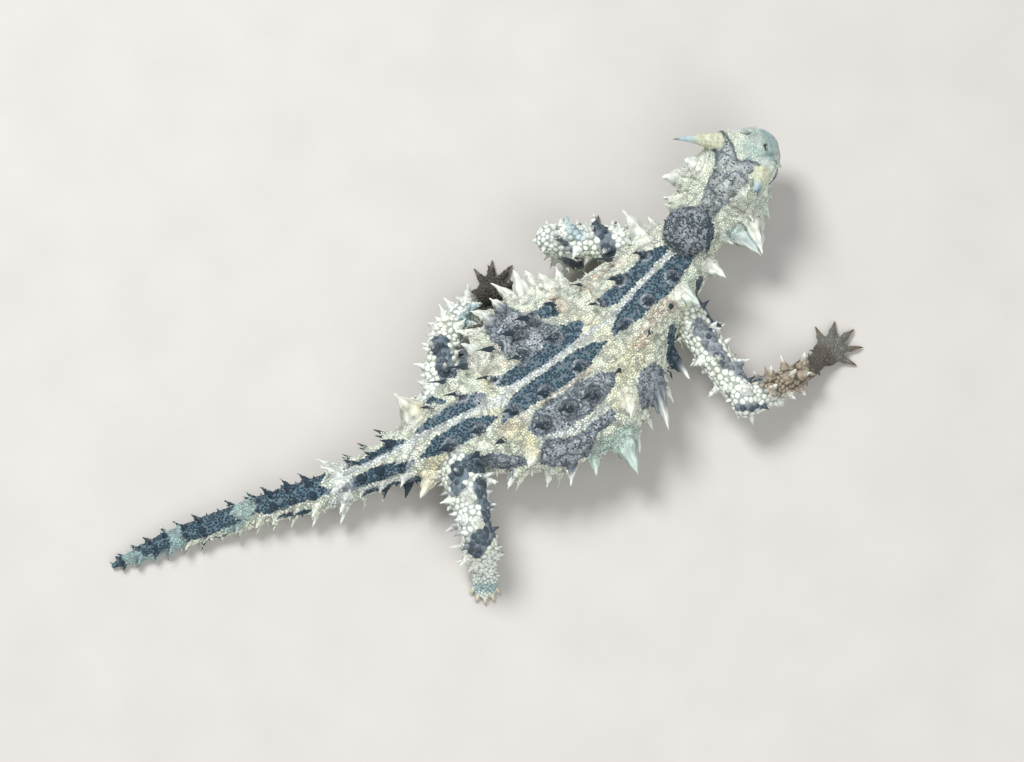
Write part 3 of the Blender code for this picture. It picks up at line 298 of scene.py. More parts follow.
# The camera: it looks at the origin of the design from behind the animal's right side
CAMERA_AZIMUTH, CAMERA_ELEVATION = math.radians(230.0), math.radians(68.0)
CAMERA_DISTANCE, FRAME_WIDTH = 1000.0, 204.8  # the width that the frame takes in at that distance
SENSOR_WIDTH = 36.0


# The body's surface, on arrays of places

STEPS = np.linalg.norm(np.diff(BODY_SECTIONS[:, :2], axis=0), axis=1)
LENGTHS = np.concatenate([[0.0], np.cumsum(STEPS)])
SLOPES = np.gradient(BODY_SECTIONS, LENGTHS, axis=0)
BODY_LENGTH = float(LENGTHS[-1])


def signed_power(value, power):
    return np.sign(value) * np.abs(value) ** power


def unit(vectors):
    vectors = np.asarray(vectors, float)
    return vectors / np.maximum(np.linalg.norm(vectors, axis=-1, keepdims=True), 1e-9)


def norms(vectors):
    return np.linalg.norm(vectors, axis=1)


def full_turn(count):
    """Angles in even steps all the way round."""
    return np.linspace(0.0, math.tau, count, endpoint=False)


def fade(value, full, none):
    """1 where a value is at full or past it, 0 at none, and smooth between."""
    share = np.clip((value - none) / (full - none), 0.0, 1.0)
    return share * share * (3 - 2 * share)


def section_at(length):
    """The sections at lengths along the body, on smooth curves through the table's rows."""
    length = np.asarray(length, float)
    low = np.clip(np.searchsorted(LENGTHS, length, side="right") - 1, 0, len(BODY_SECTIONS) - 2)
    span = (LENGTHS[low + 1] - LENGTHS[low])[..., None]
    u = (length[..., None] - LENGTHS[low][..., None]) / span
    return (
        (2 * u**3 - 3 * u**2 + 1) * BODY_SECTIONS[low]
        + (u**3 - 2 * u**2 + u) * span * SLOPES[low]
        + (3 * u**2 - 2 * u**3) * BODY_SECTIONS[low + 1]
        + (u**3 - u**2) * span * SLOPES[low + 1]
    )


def body_axes(length):
    """The ways forward and left, level with the floor."""
    length = np.asarray(length, float)
    ahead = section_at(np.minimum(length + 0.5, BODY_LENGTH))[..., :2]
    behind = section_at(np.maximum(length - 0.5, 0.0))[..., :2]
    forward = unit(ahead - behind)
    level = np.zeros(length.shape)
    left = np.stack([-forward[..., 1], forward[..., 0], level], -1)
    return np.stack([forward[..., 0], forward[..., 1], level], -1), left


def body_point(length, angle, outset=0.0):
    """Points of the body: 0 degrees is the back, 90 the left flank, -90 the right one and 180 the belly."""
    length, angle = np.broadcast_arrays(np.asarray(length, float), np.radians(angle))
    x, y, back, half, belly, square = np.moveaxis(section_at(length), -1, 0)
    back, half, belly = back + outset, half + outset, belly - outset
    flank = belly + FLANK_SHARE * (back - belly)
    side = signed_power(np.sin(angle), 2 / square) * half
    rise = signed_power(np.cos(angle), 2 / square)
    height = flank + rise * np.where(rise > 0, back - flank, flank - belly)
    return np.stack([x, y, height], -1) + body_axes(length)[1] * side[..., None]


def body_normal(length, angle):
    ahead = body_point(np.minimum(length + 0.4, BODY_LENGTH), angle)
    behind = body_point(np.maximum(length - 0.4, 0.0), angle)
    around = body_point(length, angle + 2.0) - body_point(length, angle - 2.0)
    return unit(np.cross(ahead - behind, around))


GIRTH_LENGTHS = np.linspace(0.0, BODY_LENGTH, 110)
GIRTH_ANGLES = np.linspace(0.0, 180.0, 61)
GIRTH_RINGS = body_point(GIRTH_LENGTHS[:, None], GIRTH_ANGLES[None, :])
GIRTHS = np.pad(np.cumsum(np.linalg.norm(np.diff(GIRTH_RINGS, axis=1), axis=2), axis=1), ((0, 0), (1, 0)))
MIDLINE_LENGTHS = np.linspace(0.0, BODY_LENGTH, 400)
MIDLINE_Y = section_at(MIDLINE_LENGTHS)[:, 1]


def length_at(y):
    """The length along the body at which its midline passes a given y."""
    return np.interp(-np.asarray(y, float), -MIDLINE_Y, MIDLINE_LENGTHS)


def girth_at(length, angle):
    """The way round the section from the middle of the back."""
    row = np.clip(length / BODY_LENGTH * (len(GIRTH_LENGTHS) - 1), 0, len(GIRTH_LENGTHS) - 1.001)
    column = np.clip(np.abs(angle) / 180.0 * (len(GIRTH_ANGLES) - 1), 0, len(GIRTH_ANGLES) - 1.001)
    i, j = row.astype(int), column.astype(int)
    u, v = row - i, column - j
    near = GIRTHS[i, j] * (1 - v) + GIRTHS[i, j + 1] * v
    far = GIRTHS[i + 1, j] * (1 - v) + GIRTHS[i + 1, j + 1] * v
    return np.sign(angle) * (near * (1 - u) + far * u)


def body_place(points):
    """For each point its length along the body, angle, girth and about how far it is outside the body."""
    length = length_at(points[:, 1])
    for _ in range(5):
        offset = points[:, :2] - section_at(length)[:, :2]
        length = np.clip(length + 0.8 * (offset * body_axes(length)[0][:, :2]).sum(1), 0.0, BODY_LENGTH)
    x, y, back, half, belly, square = section_at(length).T
    offset = points[:, :2] - np.stack([x, y], 1)
    ahead = (offset * body_axes(length)[0][:, :2]).sum(1)
    side = (offset * body_axes(length)[1][:, :2]).sum(1) / half
    flank = belly + FLANK_SHARE * (back - belly)
    rise = (points[:, 2] - flank) / np.where(points[:, 2] > flank, back - flank, flank - belly)
    angle = np.degrees(np.arctan2(signed_power(side, square / 2), signed_power(rise, square / 2)))
    share = (np.abs(side) ** square + np.abs(rise) ** square) ** (1 / square)
    outside = (share - 1) * np.hypot(side * half, rise * (back - belly) / 2) / np.maximum(share, 0.05)
    return length, angle, girth_at(length, angle), np.maximum(outside, np.abs(ahead) - 0.5)


def head_point(side, place):
    """A point of the head from its distance in front of the origin, height and distance from the midline."""
    along, height, reach = place
    length = length_at(-along)
    x, y = section_at(length)[:2]
    return np.array([x, y, height]) + body_axes(length)[1] * (side * reach)


def head_lean(side, along, lean):
    """A direction on one side of the head from its shares back, out and up."""
    back, out, up = lean
    forward, left = body_axes(length_at(-along))
    return unit(left * (out * side) - forward * back + UP * up)


# Limbs

def limb_lengths(limb):
    """The two straight lengths of a limb and its palm, each as start, end and their radii."""
    root, bend, wrist, palm, _ = limb
    palm = (*palm, PALM_HEIGHT)
    joints = [(np.array(joint[:3]), radius) for joint, radius in
              ((root, root[3]), (bend, bend[3]), (wrist, wrist[3]), (palm, PALM_HALVES[0]))]
    return [(*a, *b) for a, b in zip(joints, joints[1:])]


STRETCHES = [stretch for limb in LIMBS.values() for stretch in limb_lengths(limb)]


def limb_place(points):
    """For each point the nearest limb stretch, the share along it and how far it is outside it."""
    rooms, shares = [], []
    for start, first, end, last in STRETCHES:
        axis = end - start
        share = np.clip((points - start) @ axis / (axis @ axis), 0.0, 1.0)
        away = norms(points - start - share[:, None] * axis)
        rooms.append(away - (first + (last - first) * share))
        shares.append(share)
    rooms, shares = np.array(rooms), np.array(shares)
    nearest = rooms.argmin(0)
    each = np.arange(len(points))
    return nearest, shares[nearest, each], rooms[nearest, each]


Place = namedtuple("Place", "points length angle girth torso")  # torso: on the body and not on a limb


def places_of(points):
    length, angle, girth, outside = body_place(points)
    _, _, room = limb_place(points)
    return Place(points, length, angle, girth, outside < room)


def turn_about(stretch, turn):
    """The way out from a limb's length at a turn from its upper side."""
    start, _, end, _ = stretch
    axis = unit(end - start)
    above = UP - axis * axis[2]
    if np.linalg.norm(above) < 0.35:
        above = np.cross(axis, (0.0, 1.0, 0.0))
    above = unit(above)
    return above * math.cos(turn) + np.cross(axis, above) * math.sin(turn)


# Meshes from arrays

def mesh_object(name, points, polygons):
    """An object from points in the design frame and polygons in arrays of one size each, in millimetres."""
    corners = np.concatenate([array.ravel() for array in polygons])
    sizes = np.concatenate([np.full(len(array), array.shape[1]) for array in polygons])
    mesh = bpy.data.meshes.new(name)
    mesh.vertices.add(len(points))
    mesh.vertices.foreach_set("co", np.asarray(points, np.float32).ravel())
    mesh.loops.add(len(corners))
    mesh.loops.foreach_set("vertex_index", corners.astype(np.int32))
    mesh.polygons.add(len(sizes))
    mesh.polygons.foreach_set("loop_start", (np.cumsum(sizes) - sizes).astype(np.int32))
    mesh.update(calc_edges=True)
    mesh.shade_smooth()
    obj = bpy.data.objects.new(name, mesh)
    bpy.context.scene.collection.objects.link(obj)
    return obj


def points_of(obj):
    points = np.empty(len(obj.data.vertices) * 3, np.float32)
    obj.data.vertices.foreach_get("co", points)
    return points.reshape(-1, 3).astype(float)


def set_points(obj, points):
    obj.data.vertices.foreach_set("co", points.astype(np.float32).ravel())
    obj.data.update()


def surface_tree(points, triangles):
    return BVHTree.FromPolygons([Vector(point) for point in points], triangles.tolist())


def point_tree(points):
    tree = KDTree(len(points))
    for index, point in enumerate(points):
        tree.insert(point, index)
    tree.balance()
    return tree


def normals_of(obj):
    normals = np.empty(len(obj.data.vertices) * 3, np.float32)
    obj.data.vertex_normals.foreach_get("vector", normals)
    return normals.reshape(-1, 3).astype(float)


def loft_polygons(rings, sides, first=0):
    """Quads between rings of points, and the two end polygons."""
    low = np.arange((rings - 1) * sides).reshape(rings - 1, sides) + first
    after = np.roll(low, -1, axis=1)
    quads = np.stack([low, after, after + sides, low + sides], -1).reshape(-1, 4)
    last = first + (rings - 1) * sides
    return quads, np.stack([np.arange(first, first + sides)[::-1], np.arange(last, last + sides)])


def loft(name, rings):
    rings = np.asarray(rings)
    quads, ends = loft_polygons(*rings.shape[:2])
    return mesh_object(name, rings.reshape(-1, 3), [quads, ends])


def tube(name, path, radii, sides=20):
    """A tube round a path, with domed ends."""
    path, radii = np.asarray(path, float), np.asarray(radii, float)
    ways = unit(np.gradient(path, axis=0))
    side = unit(np.cross(ways[0], (0.31, 0.52, 0.79)))
    turns = full_turn(sides)
    rings = []

    def add(centre, way, radius):
        nonlocal side
        side = unit(side - way * (side @ way))
        other = np.cross(way, side)
        rings.append(centre + (np.outer(np.cos(turns), side) + np.outer(np.sin(turns), other)) * radius)

    domes = np.radians((78.0, 52.0, 26.0))
    for lift in domes:
        add(path[0] - ways[0] * radii[0] * math.sin(lift), ways[0], radii[0] * math.cos(lift))
    for centre, way, radius in zip(path, ways, radii):
        add(centre, way, radius)
    for lift in domes[::-1]:
        add(path[-1] + ways[-1] * radii[-1] * math.sin(lift), ways[-1], radii[-1] * math.cos(lift))
    return loft(name, rings)


def ball(name, centre, halves, segments=32, rings=18, turn=0.0):
    """An ellipsoid, turned about a vertical axis."""
    lifts = np.radians(np.linspace(-86.0, 86.0, rings))
    turns = full_turn(segments)
    x = np.outer(np.cos(lifts), np.cos(turns)) * halves[0]
    y = np.outer(np.cos(lifts), np.sin(turns)) * halves[1]
    z = np.outer(np.sin(lifts), np.ones(segments)) * halves[2]
    cos, sin = math.cos(turn), math.sin(turn)
    return loft(name, np.stack([x * cos - y * sin, x * sin + y * cos, z], -1) + centre)


def smooth_noise(points, size, seed):
    """Smooth noise from about -1 to 1 whose lumps are of a given size."""
    place = points / size + 31.7 * seed
    cell = np.floor(place).astype(np.int64)
    share = place - cell
    share = share * share * (3 - 2 * share)
    total = np.zeros(len(points))
    for corner in itertools.product((0, 1), repeat=3):
        mixed = (cell + corner) @ np.array((73856093, 19349663, 83492791)) + seed * 2654435
        mixed = ((mixed ^ (mixed >> 13)) & 0x7FFFFFFF) * 1274126177
        value = ((mixed ^ (mixed >> 16)) & 0xFFFF) / 32767.5 - 1
        total += value * np.prod(np.where(corner, share, 1 - share), axis=1)
    return total * 1.2


# The skin

VOXEL = 0.30  # size of the skin's faces
HEAD_BACK, HEAD_RIGHT = -54.0, -12.0  # y and x within which the skin is finer
MUSCLES = {  # share along a limb's length: width, for the upper and the lower length
    0: {0.0: 1.0, 0.25: 1.1, 0.5: 1.04, 0.8: 0.92, 1.0: 0.96},
    1: {0.0: 0.98, 0.2: 1.12, 0.45: 1.02, 0.75: 0.86, 1.0: 0.95},
}


def foot_frame(limb):
    return np.array((*limb[3], PALM_HEIGHT)), math.radians(limb[4])


def digit_path(limb_name, angle):
    """The knuckle, the arched middle and the end of one digit."""
    centre, heading = foot_frame(LIMBS[limb_name])
    spread, share = CLOSE_FOOT.get(limb_name, (1.0, 1.0))
    turn = heading + math.radians(angle * spread)
    out = np.array((math.sin(turn), -math.cos(turn), 0.0))
    knuckle = centre + out * PALM_HALVES[0] * 0.5
    end = centre + out * DIGITS[angle] * share
    end[2] = DIGIT_TIP_HEIGHT
    middle = (knuckle + end) / 2 + UP * 0.35
    return knuckle, middle, end, out


def rough_skin():
    """The body, limbs, feet and the lumps of the head, as closed forms that reach into one another."""
    lengths = np.concatenate([[0.02], np.arange(0.8, BODY_LENGTH - 0.4, 0.8), [BODY_LENGTH - 0.15]])
    angles = np.linspace(0.0, 360.0, 72, endpoint=False)
    made = [loft("body", body_point(lengths[:, None], angles[None, :], -SKIN_DEPTH))]
    for limb_name, limb in LIMBS.items():
        for index, (start, first, end, last) in enumerate(limb_lengths(limb)[:2]):
            shares = np.linspace(0.0, 1.0, 9)
            widths = np.interp(shares, list(MUSCLES[index]), list(MUSCLES[index].values()))
            radii = (first + (last - first) * shares) * widths - SKIN_DEPTH
            made.append(tube("limb", start + shares[:, None] * (end - start), radii))
        wrist, palm = np.array(limb[2][:3]), foot_frame(limb)[0]
        made.append(tube("heel", np.linspace(wrist, palm, 5), np.linspace(limb[2][3] * 0.92, 1.5, 5)))
        made.append(ball("palm", palm, np.array(PALM_HALVES) - 0.1, turn=foot_frame(limb)[1]))
        for angle in DIGITS:
            knuckle, middle, end, _ = digit_path(limb_name, angle)
            path = [knuckle, (knuckle + middle) / 2, middle, (middle + end) / 2, end]
            thick, thin = DIGIT_RADII
            made.append(tube("digit", path, (thick, thick * 0.86, thick * 0.98, thin * 0.9, thin), 12))
    for side in SIDES:
        made.append(ball("brow", head_point(side, BROW_PLACE), np.array(BROW_HALVES) - 0.1))
        made.append(ball("cheek", head_point(side, CHEEK_PLACE), np.array(CHEEK_HALVES) - 0.1))
    made.append(ball("knob", KNOB_CENTRE, KNOB_HALVES))
    made.append(ball("tubercle", TUBERCLE_CENTRE, (TUBERCLE_RADIUS,) * 3))
    return made


def fused_skin():
    """One closed skin over all of those forms, finer on the head."""
    parts = rough_skin()
    with bpy.context.temp_override(active_object=parts[0], selected_editable_objects=parts):
        bpy.ops.object.join()
    skin = parts[0]
    skin.name = "skin"
    bm = bmesh.new()
    bm.from_mesh(skin.data)
    bmesh.ops.recalc_face_normals(bm, faces=bm.faces)
    bm.to_mesh(skin.data)
    bm.free()
    remesh = skin.modifiers.new("fuse", "REMESH")
    remesh.mode = "VOXEL"
    remesh.voxel_size = VOXEL
    soften = skin.modifiers.new("soften", "SMOOTH")
    soften.factor = 0.5
    soften.iterations = 5
    graph = bpy.context.evaluated_depsgraph_get()
    skin.data = bpy.data.meshes.new_from_object(skin.evaluated_get(graph))
    skin.modifiers.clear()
    bm = bmesh.new()
    bm.from_mesh(skin.data)
    starts = ((edge, edge.verts[0].co) for edge in bm.edges)
    edges = [edge for edge, start in starts if start.y < HEAD_BACK and start.x > HEAD_RIGHT]
    bmesh.ops.subdivide_edges(bm, edges=edges, cuts=1, use_grid_fill=True, smooth=0.0)
    bm.to_mesh(skin.data)
    bm.free()
    skin.data.shade_smooth()
    return skin


def bump(distance, width):
    return np.exp(-((distance / width) ** 2))


def nostril_gap(length, girth):
    """How far places are outside the bent openings of the nostrils."""
    return strip(np.stack([length, np.abs(girth)], 1), NOSTRIL_PATH, 0.26)


def wrinkles_at(points):
    """Fine winding lines all over the hide."""
    wide = bump(smooth_noise(points, 1.7, 12), 0.13)
    return np.maximum(wide, bump(smooth_noise(points * (1.0, 1.0, 0.6), 1.1, 13), 0.10))


def folds_round_cones(cones, points):
    """Ring folds round the back's cones."""
    rings = 0.5 + 0.5 * np.cos((cones + 0.16 * smooth_noise(points, 1.2, 14)) / 0.85 * math.tau)
    return rings * fade(cones, 2.2, 3.2)


# Forms of the skin: each gives how far places rise and how deep they lie in a crease, which is painted as
# shade

def mouth_form(at):
    """Two lips with the line between them, which is painted with shade."""
    corner = length_at(-MOUTH_CORNER)
    dip = 1.2 * ((at.length - corner) / (BODY_LENGTH + 1.0 - corner) - 0.4) ** 2
    above = at.points[:, 2] - MOUTH_HEIGHT - dip
    mouth = (at.length > FACE_START) * fade(at.length, corner + 0.5, corner - 0.6)
    line = mouth * bump(above, 0.2)
    lips = mouth * (0.14 * bump(above - 0.6, 0.35) + 0.12 * bump(above + 0.6, 0.35))
    return lips - 0.5 * line, line


def nostril_form(at):
    """Bent openings, each with a raised rim, and painted shade in the openings."""
    gap = nostril_gap(at.length, at.girth)
    face = at.torso * (at.length > FACE_START)
    rise = 0.28 * bump(gap - 0.6, 0.4) - 0.7 * fade(gap, -0.05, 0.2)
    return face * rise, face * fade(gap, 0.02, 0.22)


def ear_form(at, side):
    # The ear's hollow, with painted shade in it
    ear = norms((at.points - head_point(side, EAR_PLACE)) / (1.0, 1.0, 1.3))
    return -0.5 * bump(ear, 0.8), 0.6 * bump(ear, 0.6)


def knob_form(at):
    """The knob's lumps, the fold round its foot with painted shade in it, and the rings of the small knob in
    front of it.
    """
    collar = norms((at.points - KNOB_CENTRE) / KNOB_HALVES)
    lumps = 0.34 * smooth_noise(at.points, 3.1, 15) * (collar < 1.07)
    fold = bump(collar - KNOB_RIM, 0.09) * (at.points[:, 2] > KNOB_FOLD_FLOOR)
    ringed = norms(at.points - TUBERCLE_CENTRE - UP * 0.8)
    rings = 0.14 * np.cos(ringed / 0.62 * math.tau) * (ringed < 2.4)
    return lumps - 0.35 * fold + rings, 0.7 * fold


def back_form(at):
    """Winding wrinkles, and ring folds round the cones."""
    back = at.torso * fade(np.abs(at.angle), 85.0, 110.0) * fade(at.length, 152.0, 158.0)
    folds = folds_round_cones(cone_distance(at.length, at.girth), at.points)
    return -0.16 * back * (wrinkles_at(at.points) + folds), 0.0


def neck_form(at):
    """Folds across the neck, with painted shade in their troughs."""
    neck = at.torso * bump(at.length - NECK_MIDDLE, 5.0) * fade(np.abs(at.girth), 5.0, 3.0)
    waver = 0.25 * np.abs(at.girth) + 0.5 * smooth_noise(at.points, 3.0, 3)
    folds = np.cos((at.length + waver) / 0.85 * math.tau)
    return 0.12 * neck * folds, 0.35 * neck * (folds < -0.6)


def cheek_form(at):
    """The raised plates of the head's right side."""
    raised = nearest_outline(np.stack([at.length, at.girth], 1), CHEEK_PLATES)
    return at.torso * (0.45 * fade(raised, -0.7, 0.1) - 0.2 * bump(raised - 0.3, 0.3)), 0.0


def flank_form(at):
    """Loose wrinkles between the legs."""
    level = fade(np.abs(at.angle), 60.0, 40.0) * fade(np.abs(at.angle), 105.0, 140.0)
    flank = at.torso * level * (at.length > 66) * (at.length < 132)
    wrinkles = np.abs(smooth_noise(at.points * (1.0, 1.9, 1.0), 2.1, 4))
    return 0.22 * flank * (wrinkles - 0.4), 0.0


BROAD_THORN = 1.25  # the radius above which the skin swells under a thorn


def shape_skin(skin, thorns):
    """Moves the skin's points for its forms, the swelling under broad thorns and the eye sockets."""
    points, normals = points_of(skin), normals_of(skin)
    at = places_of(points)
    move = 0.16 * smooth_noise(points, 4.0, 1) + 0.06 * smooth_noise(points, 1.3, 2)
    # Painted shade in the creases of the skin's forms
    crease = np.zeros(len(points))
    forms = [mouth_form(at), nostril_form(at), *(ear_form(at, side) for side in SIDES), knob_form(at),
             back_form(at), neck_form(at), cheek_form(at), flank_form(at)]
    for rise, line in forms:
        move += rise
        crease = np.maximum(crease, line)
    for thorn in thorns:
        if thorn.radius > BROAD_THORN:
            away = norms(points - thorn.root)
            move += 0.28 * thorn.radius * bump(away, thorn.radius * 1.25)
    points += normals * move[:, None]
    for side in SIDES:
        centre = head_point(side, EYE_PLACE)
        offset = points - centre
        sunk = norms(offset) < EYE_RADIUS + 0.35
        points[sunk] = centre + unit(offset[sunk]) * (EYE_RADIUS - 0.35)
    points[:, 2] = np.maximum(points[:, 2], 0.0)
    set_points(skin, points)
    return points, crease


# Thorns

Thorn = namedtuple("Thorn", "root direction reach radius narrow bow tip")  # tip: 1 dark, -1 bright
TALL_OUTER_ROW = 1.2  # how much longer the left outer row of the back is


def thorn_list(rng):
    """Every thorn of the body, head and limbs."""
    made = []

    def add(root, direction, reach, radius, narrow=2.0, curve=0.1, tip=0.0):
        back = unit(np.array((0.15, 1.0, -0.1)))
        made.append(Thorn(np.array(root), unit(direction), reach, radius, narrow, back * curve, tip))

    def add_body(length, angle, reach, radius, lean, **looks):
        forward = body_axes(length)[0]
        add(body_point(length, angle), body_normal(length, angle) - forward * lean, reach, radius, **looks)

    for side, thorns in GREAT_THORNS.items():
        for length, angle, reach, radius, lean in thorns:
            add_body(length, side * angle, reach, radius * 1.35, lean, narrow=1.5, tip=-1.0)
    for side in SIDES:
        for row, (places, reach, radius, lean) in enumerate(BACK_ROWS):
            for length, angle in places:
                size = rng.uniform(0.9, 1.1)
                long = TALL_OUTER_ROW if row and side > 0 else 1.0
                along = length + rng.uniform(-0.4, 0.4)
                turn = side * (angle + rng.uniform(-1, 1))
                add_body(along, turn, reach * size * long, radius * size * 1.25, lean,
                         narrow=2.4, curve=0.3, tip=1.0)
        for angle, (first, last, spacing, reach, radius, lean) in LOW_ROWS.items():
            for length in np.arange(first, last, spacing):
                size = rng.uniform(0.85, 1.15)
                add_body(length, side * (angle + rng.uniform(-3, 3)), reach * size, radius * size * 1.3, lean)
        for distance, angle, lengths, radius in NECK_THORNS:
            reach = lengths[list(SIDES).index(side)]
            add_body(NECK_START + distance, side * angle, reach, radius * 1.4, 0.15, narrow=1.45, tip=-1.0)
        for place, lengths, radius, lean, narrow in HEAD_THORNS:
            reach = lengths[list(SIDES).index(side)]
            direction = head_lean(side, place[0], lean)
            add(head_point(side, place), direction, reach, radius * 1.4, narrow=narrow, tip=-1.0)
    for start, end in TAIL_PARTS:
        length = start + 2.35
        while length < end - 1.5:
            share = length / TAIL_PARTS[-1][1]
            great = abs(length - TAIL_GREAT_RING) < TAIL_RING_SPACING / 2
            reach, radius, lean = TAIL_GREAT_THORN if great else TAIL_THORN
            for side in SIDES:
                for angle in TAIL_RING_ANGLES:
                    size = (0.42 + 0.58 * share) * rng.uniform(0.85, 1.15)
                    tip = -1.0 if great else 1.0 if side > 0 else 0.0
                    along = length + rng.uniform(-0.4, 0.4)
                    add_body(along, side * angle, reach * size, radius * size * 1.4, lean,
                             curve=0.25, tip=tip)
            length += TAIL_RING_SPACING * (0.72 + 0.28 * share)
    for index, stretch in enumerate(STRETCHES):
        start, first, end, last = stretch
        if index % 3 < 2:
            for share, turn, reach, radius in LIMB_THORNS:
                out = turn_about(stretch, math.radians(turn + rng.uniform(-8, 8)))
                root = start + share * (end - start) + out * (first + (last - first) * share)
                direction = out + unit(end - start) * 0.25
                add(root, direction, reach * rng.uniform(0.85, 1.1), radius * 1.3, tip=-1.0)
    return made


HAT_SIZES = ((1.6, 14, 18), (0.7, 9, 12), (0.0, 6, 8))  # above this radius: rings and sides
HAT_DEPTH = 0.14  # how far the rim of a thorn lies in the skin


def hat(thorn, index, bvh):
    """One thorn as a flared cone whose rim follows the skin: size, points, marks, roots and flat places."""
    rings, sides = next(size for least, *size in HAT_SIZES if thorn.radius > least)
    root, normal, _, _ = bvh.find_nearest(Vector(thorn.root))
    root, normal = np.array(root), np.array(normal)
    across = unit(np.cross(normal, (0.2, 0.9, 0.4)))
    other = np.cross(normal, across)
    spread = np.linspace(1.0, 0.05, rings)[:, None]
    turns = full_turn(sides)[None, :] + index
    ribs = 1 + (0.10 * np.cos(turns * 5 + index) + 0.05 * np.cos(turns * 9)) * np.sin(spread * math.pi)
    ways = np.cos(turns)[..., None] * across + np.sin(turns)[..., None] * other
    flat = (root + (spread * ribs * thorn.radius)[..., None] * ways).reshape(-1, 3)
    foot = np.array([bvh.find_nearest(Vector(place))[0] for place in flat])
    rise = (1 - spread) ** thorn.narrow * np.ones(turns.shape)
    lift = rise[..., None]
    steps = 0.05 * thorn.radius * np.sin(spread * 21.0 + index) * (spread < 0.9)
    lean = (thorn.direction * lift + thorn.bow * lift**2) * thorn.reach
    body = foot.reshape(rings, sides, 3) + lean + steps[..., None] * ways
    body[0] -= normal * HAT_DEPTH
    tip = root + (thorn.direction + thorn.bow) * thorn.reach
    # Painted shade in the grooves between the thorn's ribs
    groove_shade = np.clip((1 - ribs) / 0.12, 0, 1) * (0.35 + 0.15 * spread)
    under = marks_at(np.vstack([foot, root]))
    marks = thorn_marks(under, np.append(rise.ravel(), 1.0), np.append(groove_shade.ravel(), 0.0), thorn.tip)
    wide = min(0.0015 + 0.001 * thorn.radius, 0.004)
    flat_ways = np.stack([np.cos(turns) * spread, np.sin(turns) * spread], -1).reshape(-1, 2)
    points = np.vstack([body.reshape(-1, 3), tip])
    roots = np.tile(root, (len(points), 1))
    return (rings, sides), points, marks, roots, np.vstack([flat_ways, (0.0, 0.0)]) * wide


def hats(thorns, bvh):
    """All the thorns: points, polygons, marks, roots and flat places."""
    sizes, points, marks, roots, flats = zip(*(hat(thorn, index, bvh) for index, thorn in enumerate(thorns)))
    quads, fans, feet = [], [], {}
    first = 0
    for rings, sides in sizes:
        ring_quads, (foot, top) = loft_polygons(rings, sides, first)
        first += rings * sides + 1
        quads.append(ring_quads)
        feet.setdefault(sides, []).append(foot)
        fans.append(np.stack([top, np.roll(top, -1), np.full(sides, first - 1)], 1))
    polygons = [np.concatenate(quads), np.concatenate(fans)] + [np.array(group) for group in feet.values()]
    points = np.concatenate(points)
    points[:, 2] = np.maximum(points[:, 2], 0.02)
    return points, polygons, np.concatenate(marks), np.concatenate(roots), np.concatenate(flats)


def deepen(marks, mark, amount):
    """Brings one mark up to an amount where it is weaker."""
    marks[:, mark] = np.maximum(marks[:, mark], amount)


def thorn_marks(marks, rise, groove_shade, tip):
    """The marks of a thorn: those of the skin at its foot, painted shade in its grooves, and a dark or a
    bright tip.
    """
    marks = marks.copy()
    if tip > 0:
        deepen(marks, DARK, fade(rise, 0.42, 0.1))
    elif tip < 0:
        share = fade(rise, 0.8, 0.25)
        for mark in (DARK, ASH, SAND, DARK_FOOT, DARK_LINES_AND_SHADE):
            marks[:, mark] *= 1 - share
        deepen(marks, BRIGHT, 0.55 * share)
    deepen(marks, DARK_LINES_AND_SHADE, groove_shade)
    return marks


# Markings

def outline_distance(places, outline):
    """How far flat places are outside an outline, minus inside it, and PATCH_REACH for those further off."""
    corners = np.array(outline)
    found = np.full(len(places), PATCH_REACH)
    low, high = corners.min(0) - PATCH_REACH, corners.max(0) + PATCH_REACH
    near = np.flatnonzero(((places > low) & (places < high)).all(1))
    spots = places[near]
    nearest = np.full(len(spots), PATCH_REACH)
    inside = np.zeros(len(spots), bool)
    for start, end in zip(corners, np.roll(corners, -1, axis=0)):
        way = end - start
        offset = spots - start
        share = np.clip(offset @ way / (way @ way), 0.0, 1.0)
        nearest = np.minimum(nearest, norms(offset - share[:, None] * way))
        crossing = (start[1] > spots[:, 1]) != (end[1] > spots[:, 1])
        rise = way[1] if way[1] else 1e-9
        inside ^= crossing & (spots[:, 0] < start[0] + (spots[:, 1] - start[1]) / rise * way[0])
    found[near] = np.where(inside, -nearest, nearest)
    return found


def nearest_outline(places, outlines):
    return np.min([outline_distance(places, outline) for outline in outlines], axis=0)


def strip(places, path, half):
    """How far places are outside a round strip along a path, in any number of dimensions."""
    nearest = np.full(len(places), 1e9)
    for start, end in zip(path, path[1:]):
        start, way = np.array(start), np.subtract(end, start)
        share = np.clip((places - start) @ way / (way @ way), 0.0, 1.0)
        nearest = np.minimum(nearest, norms(places - start - share[:, None] * way))
    return nearest - half


def cone_distance(length, girth):
    """How far places are from the middle of the nearest cone of the back's rows."""
    found = np.full(len(length), 9.0)
    for places, *_ in BACK_ROWS:
        for along, angle in places:
            reach = float(girth_at(np.array([along]), np.array([float(angle)]))[0])
            found = np.minimum(found, np.hypot(length - along + 0.4, np.abs(girth) - reach))
    return found


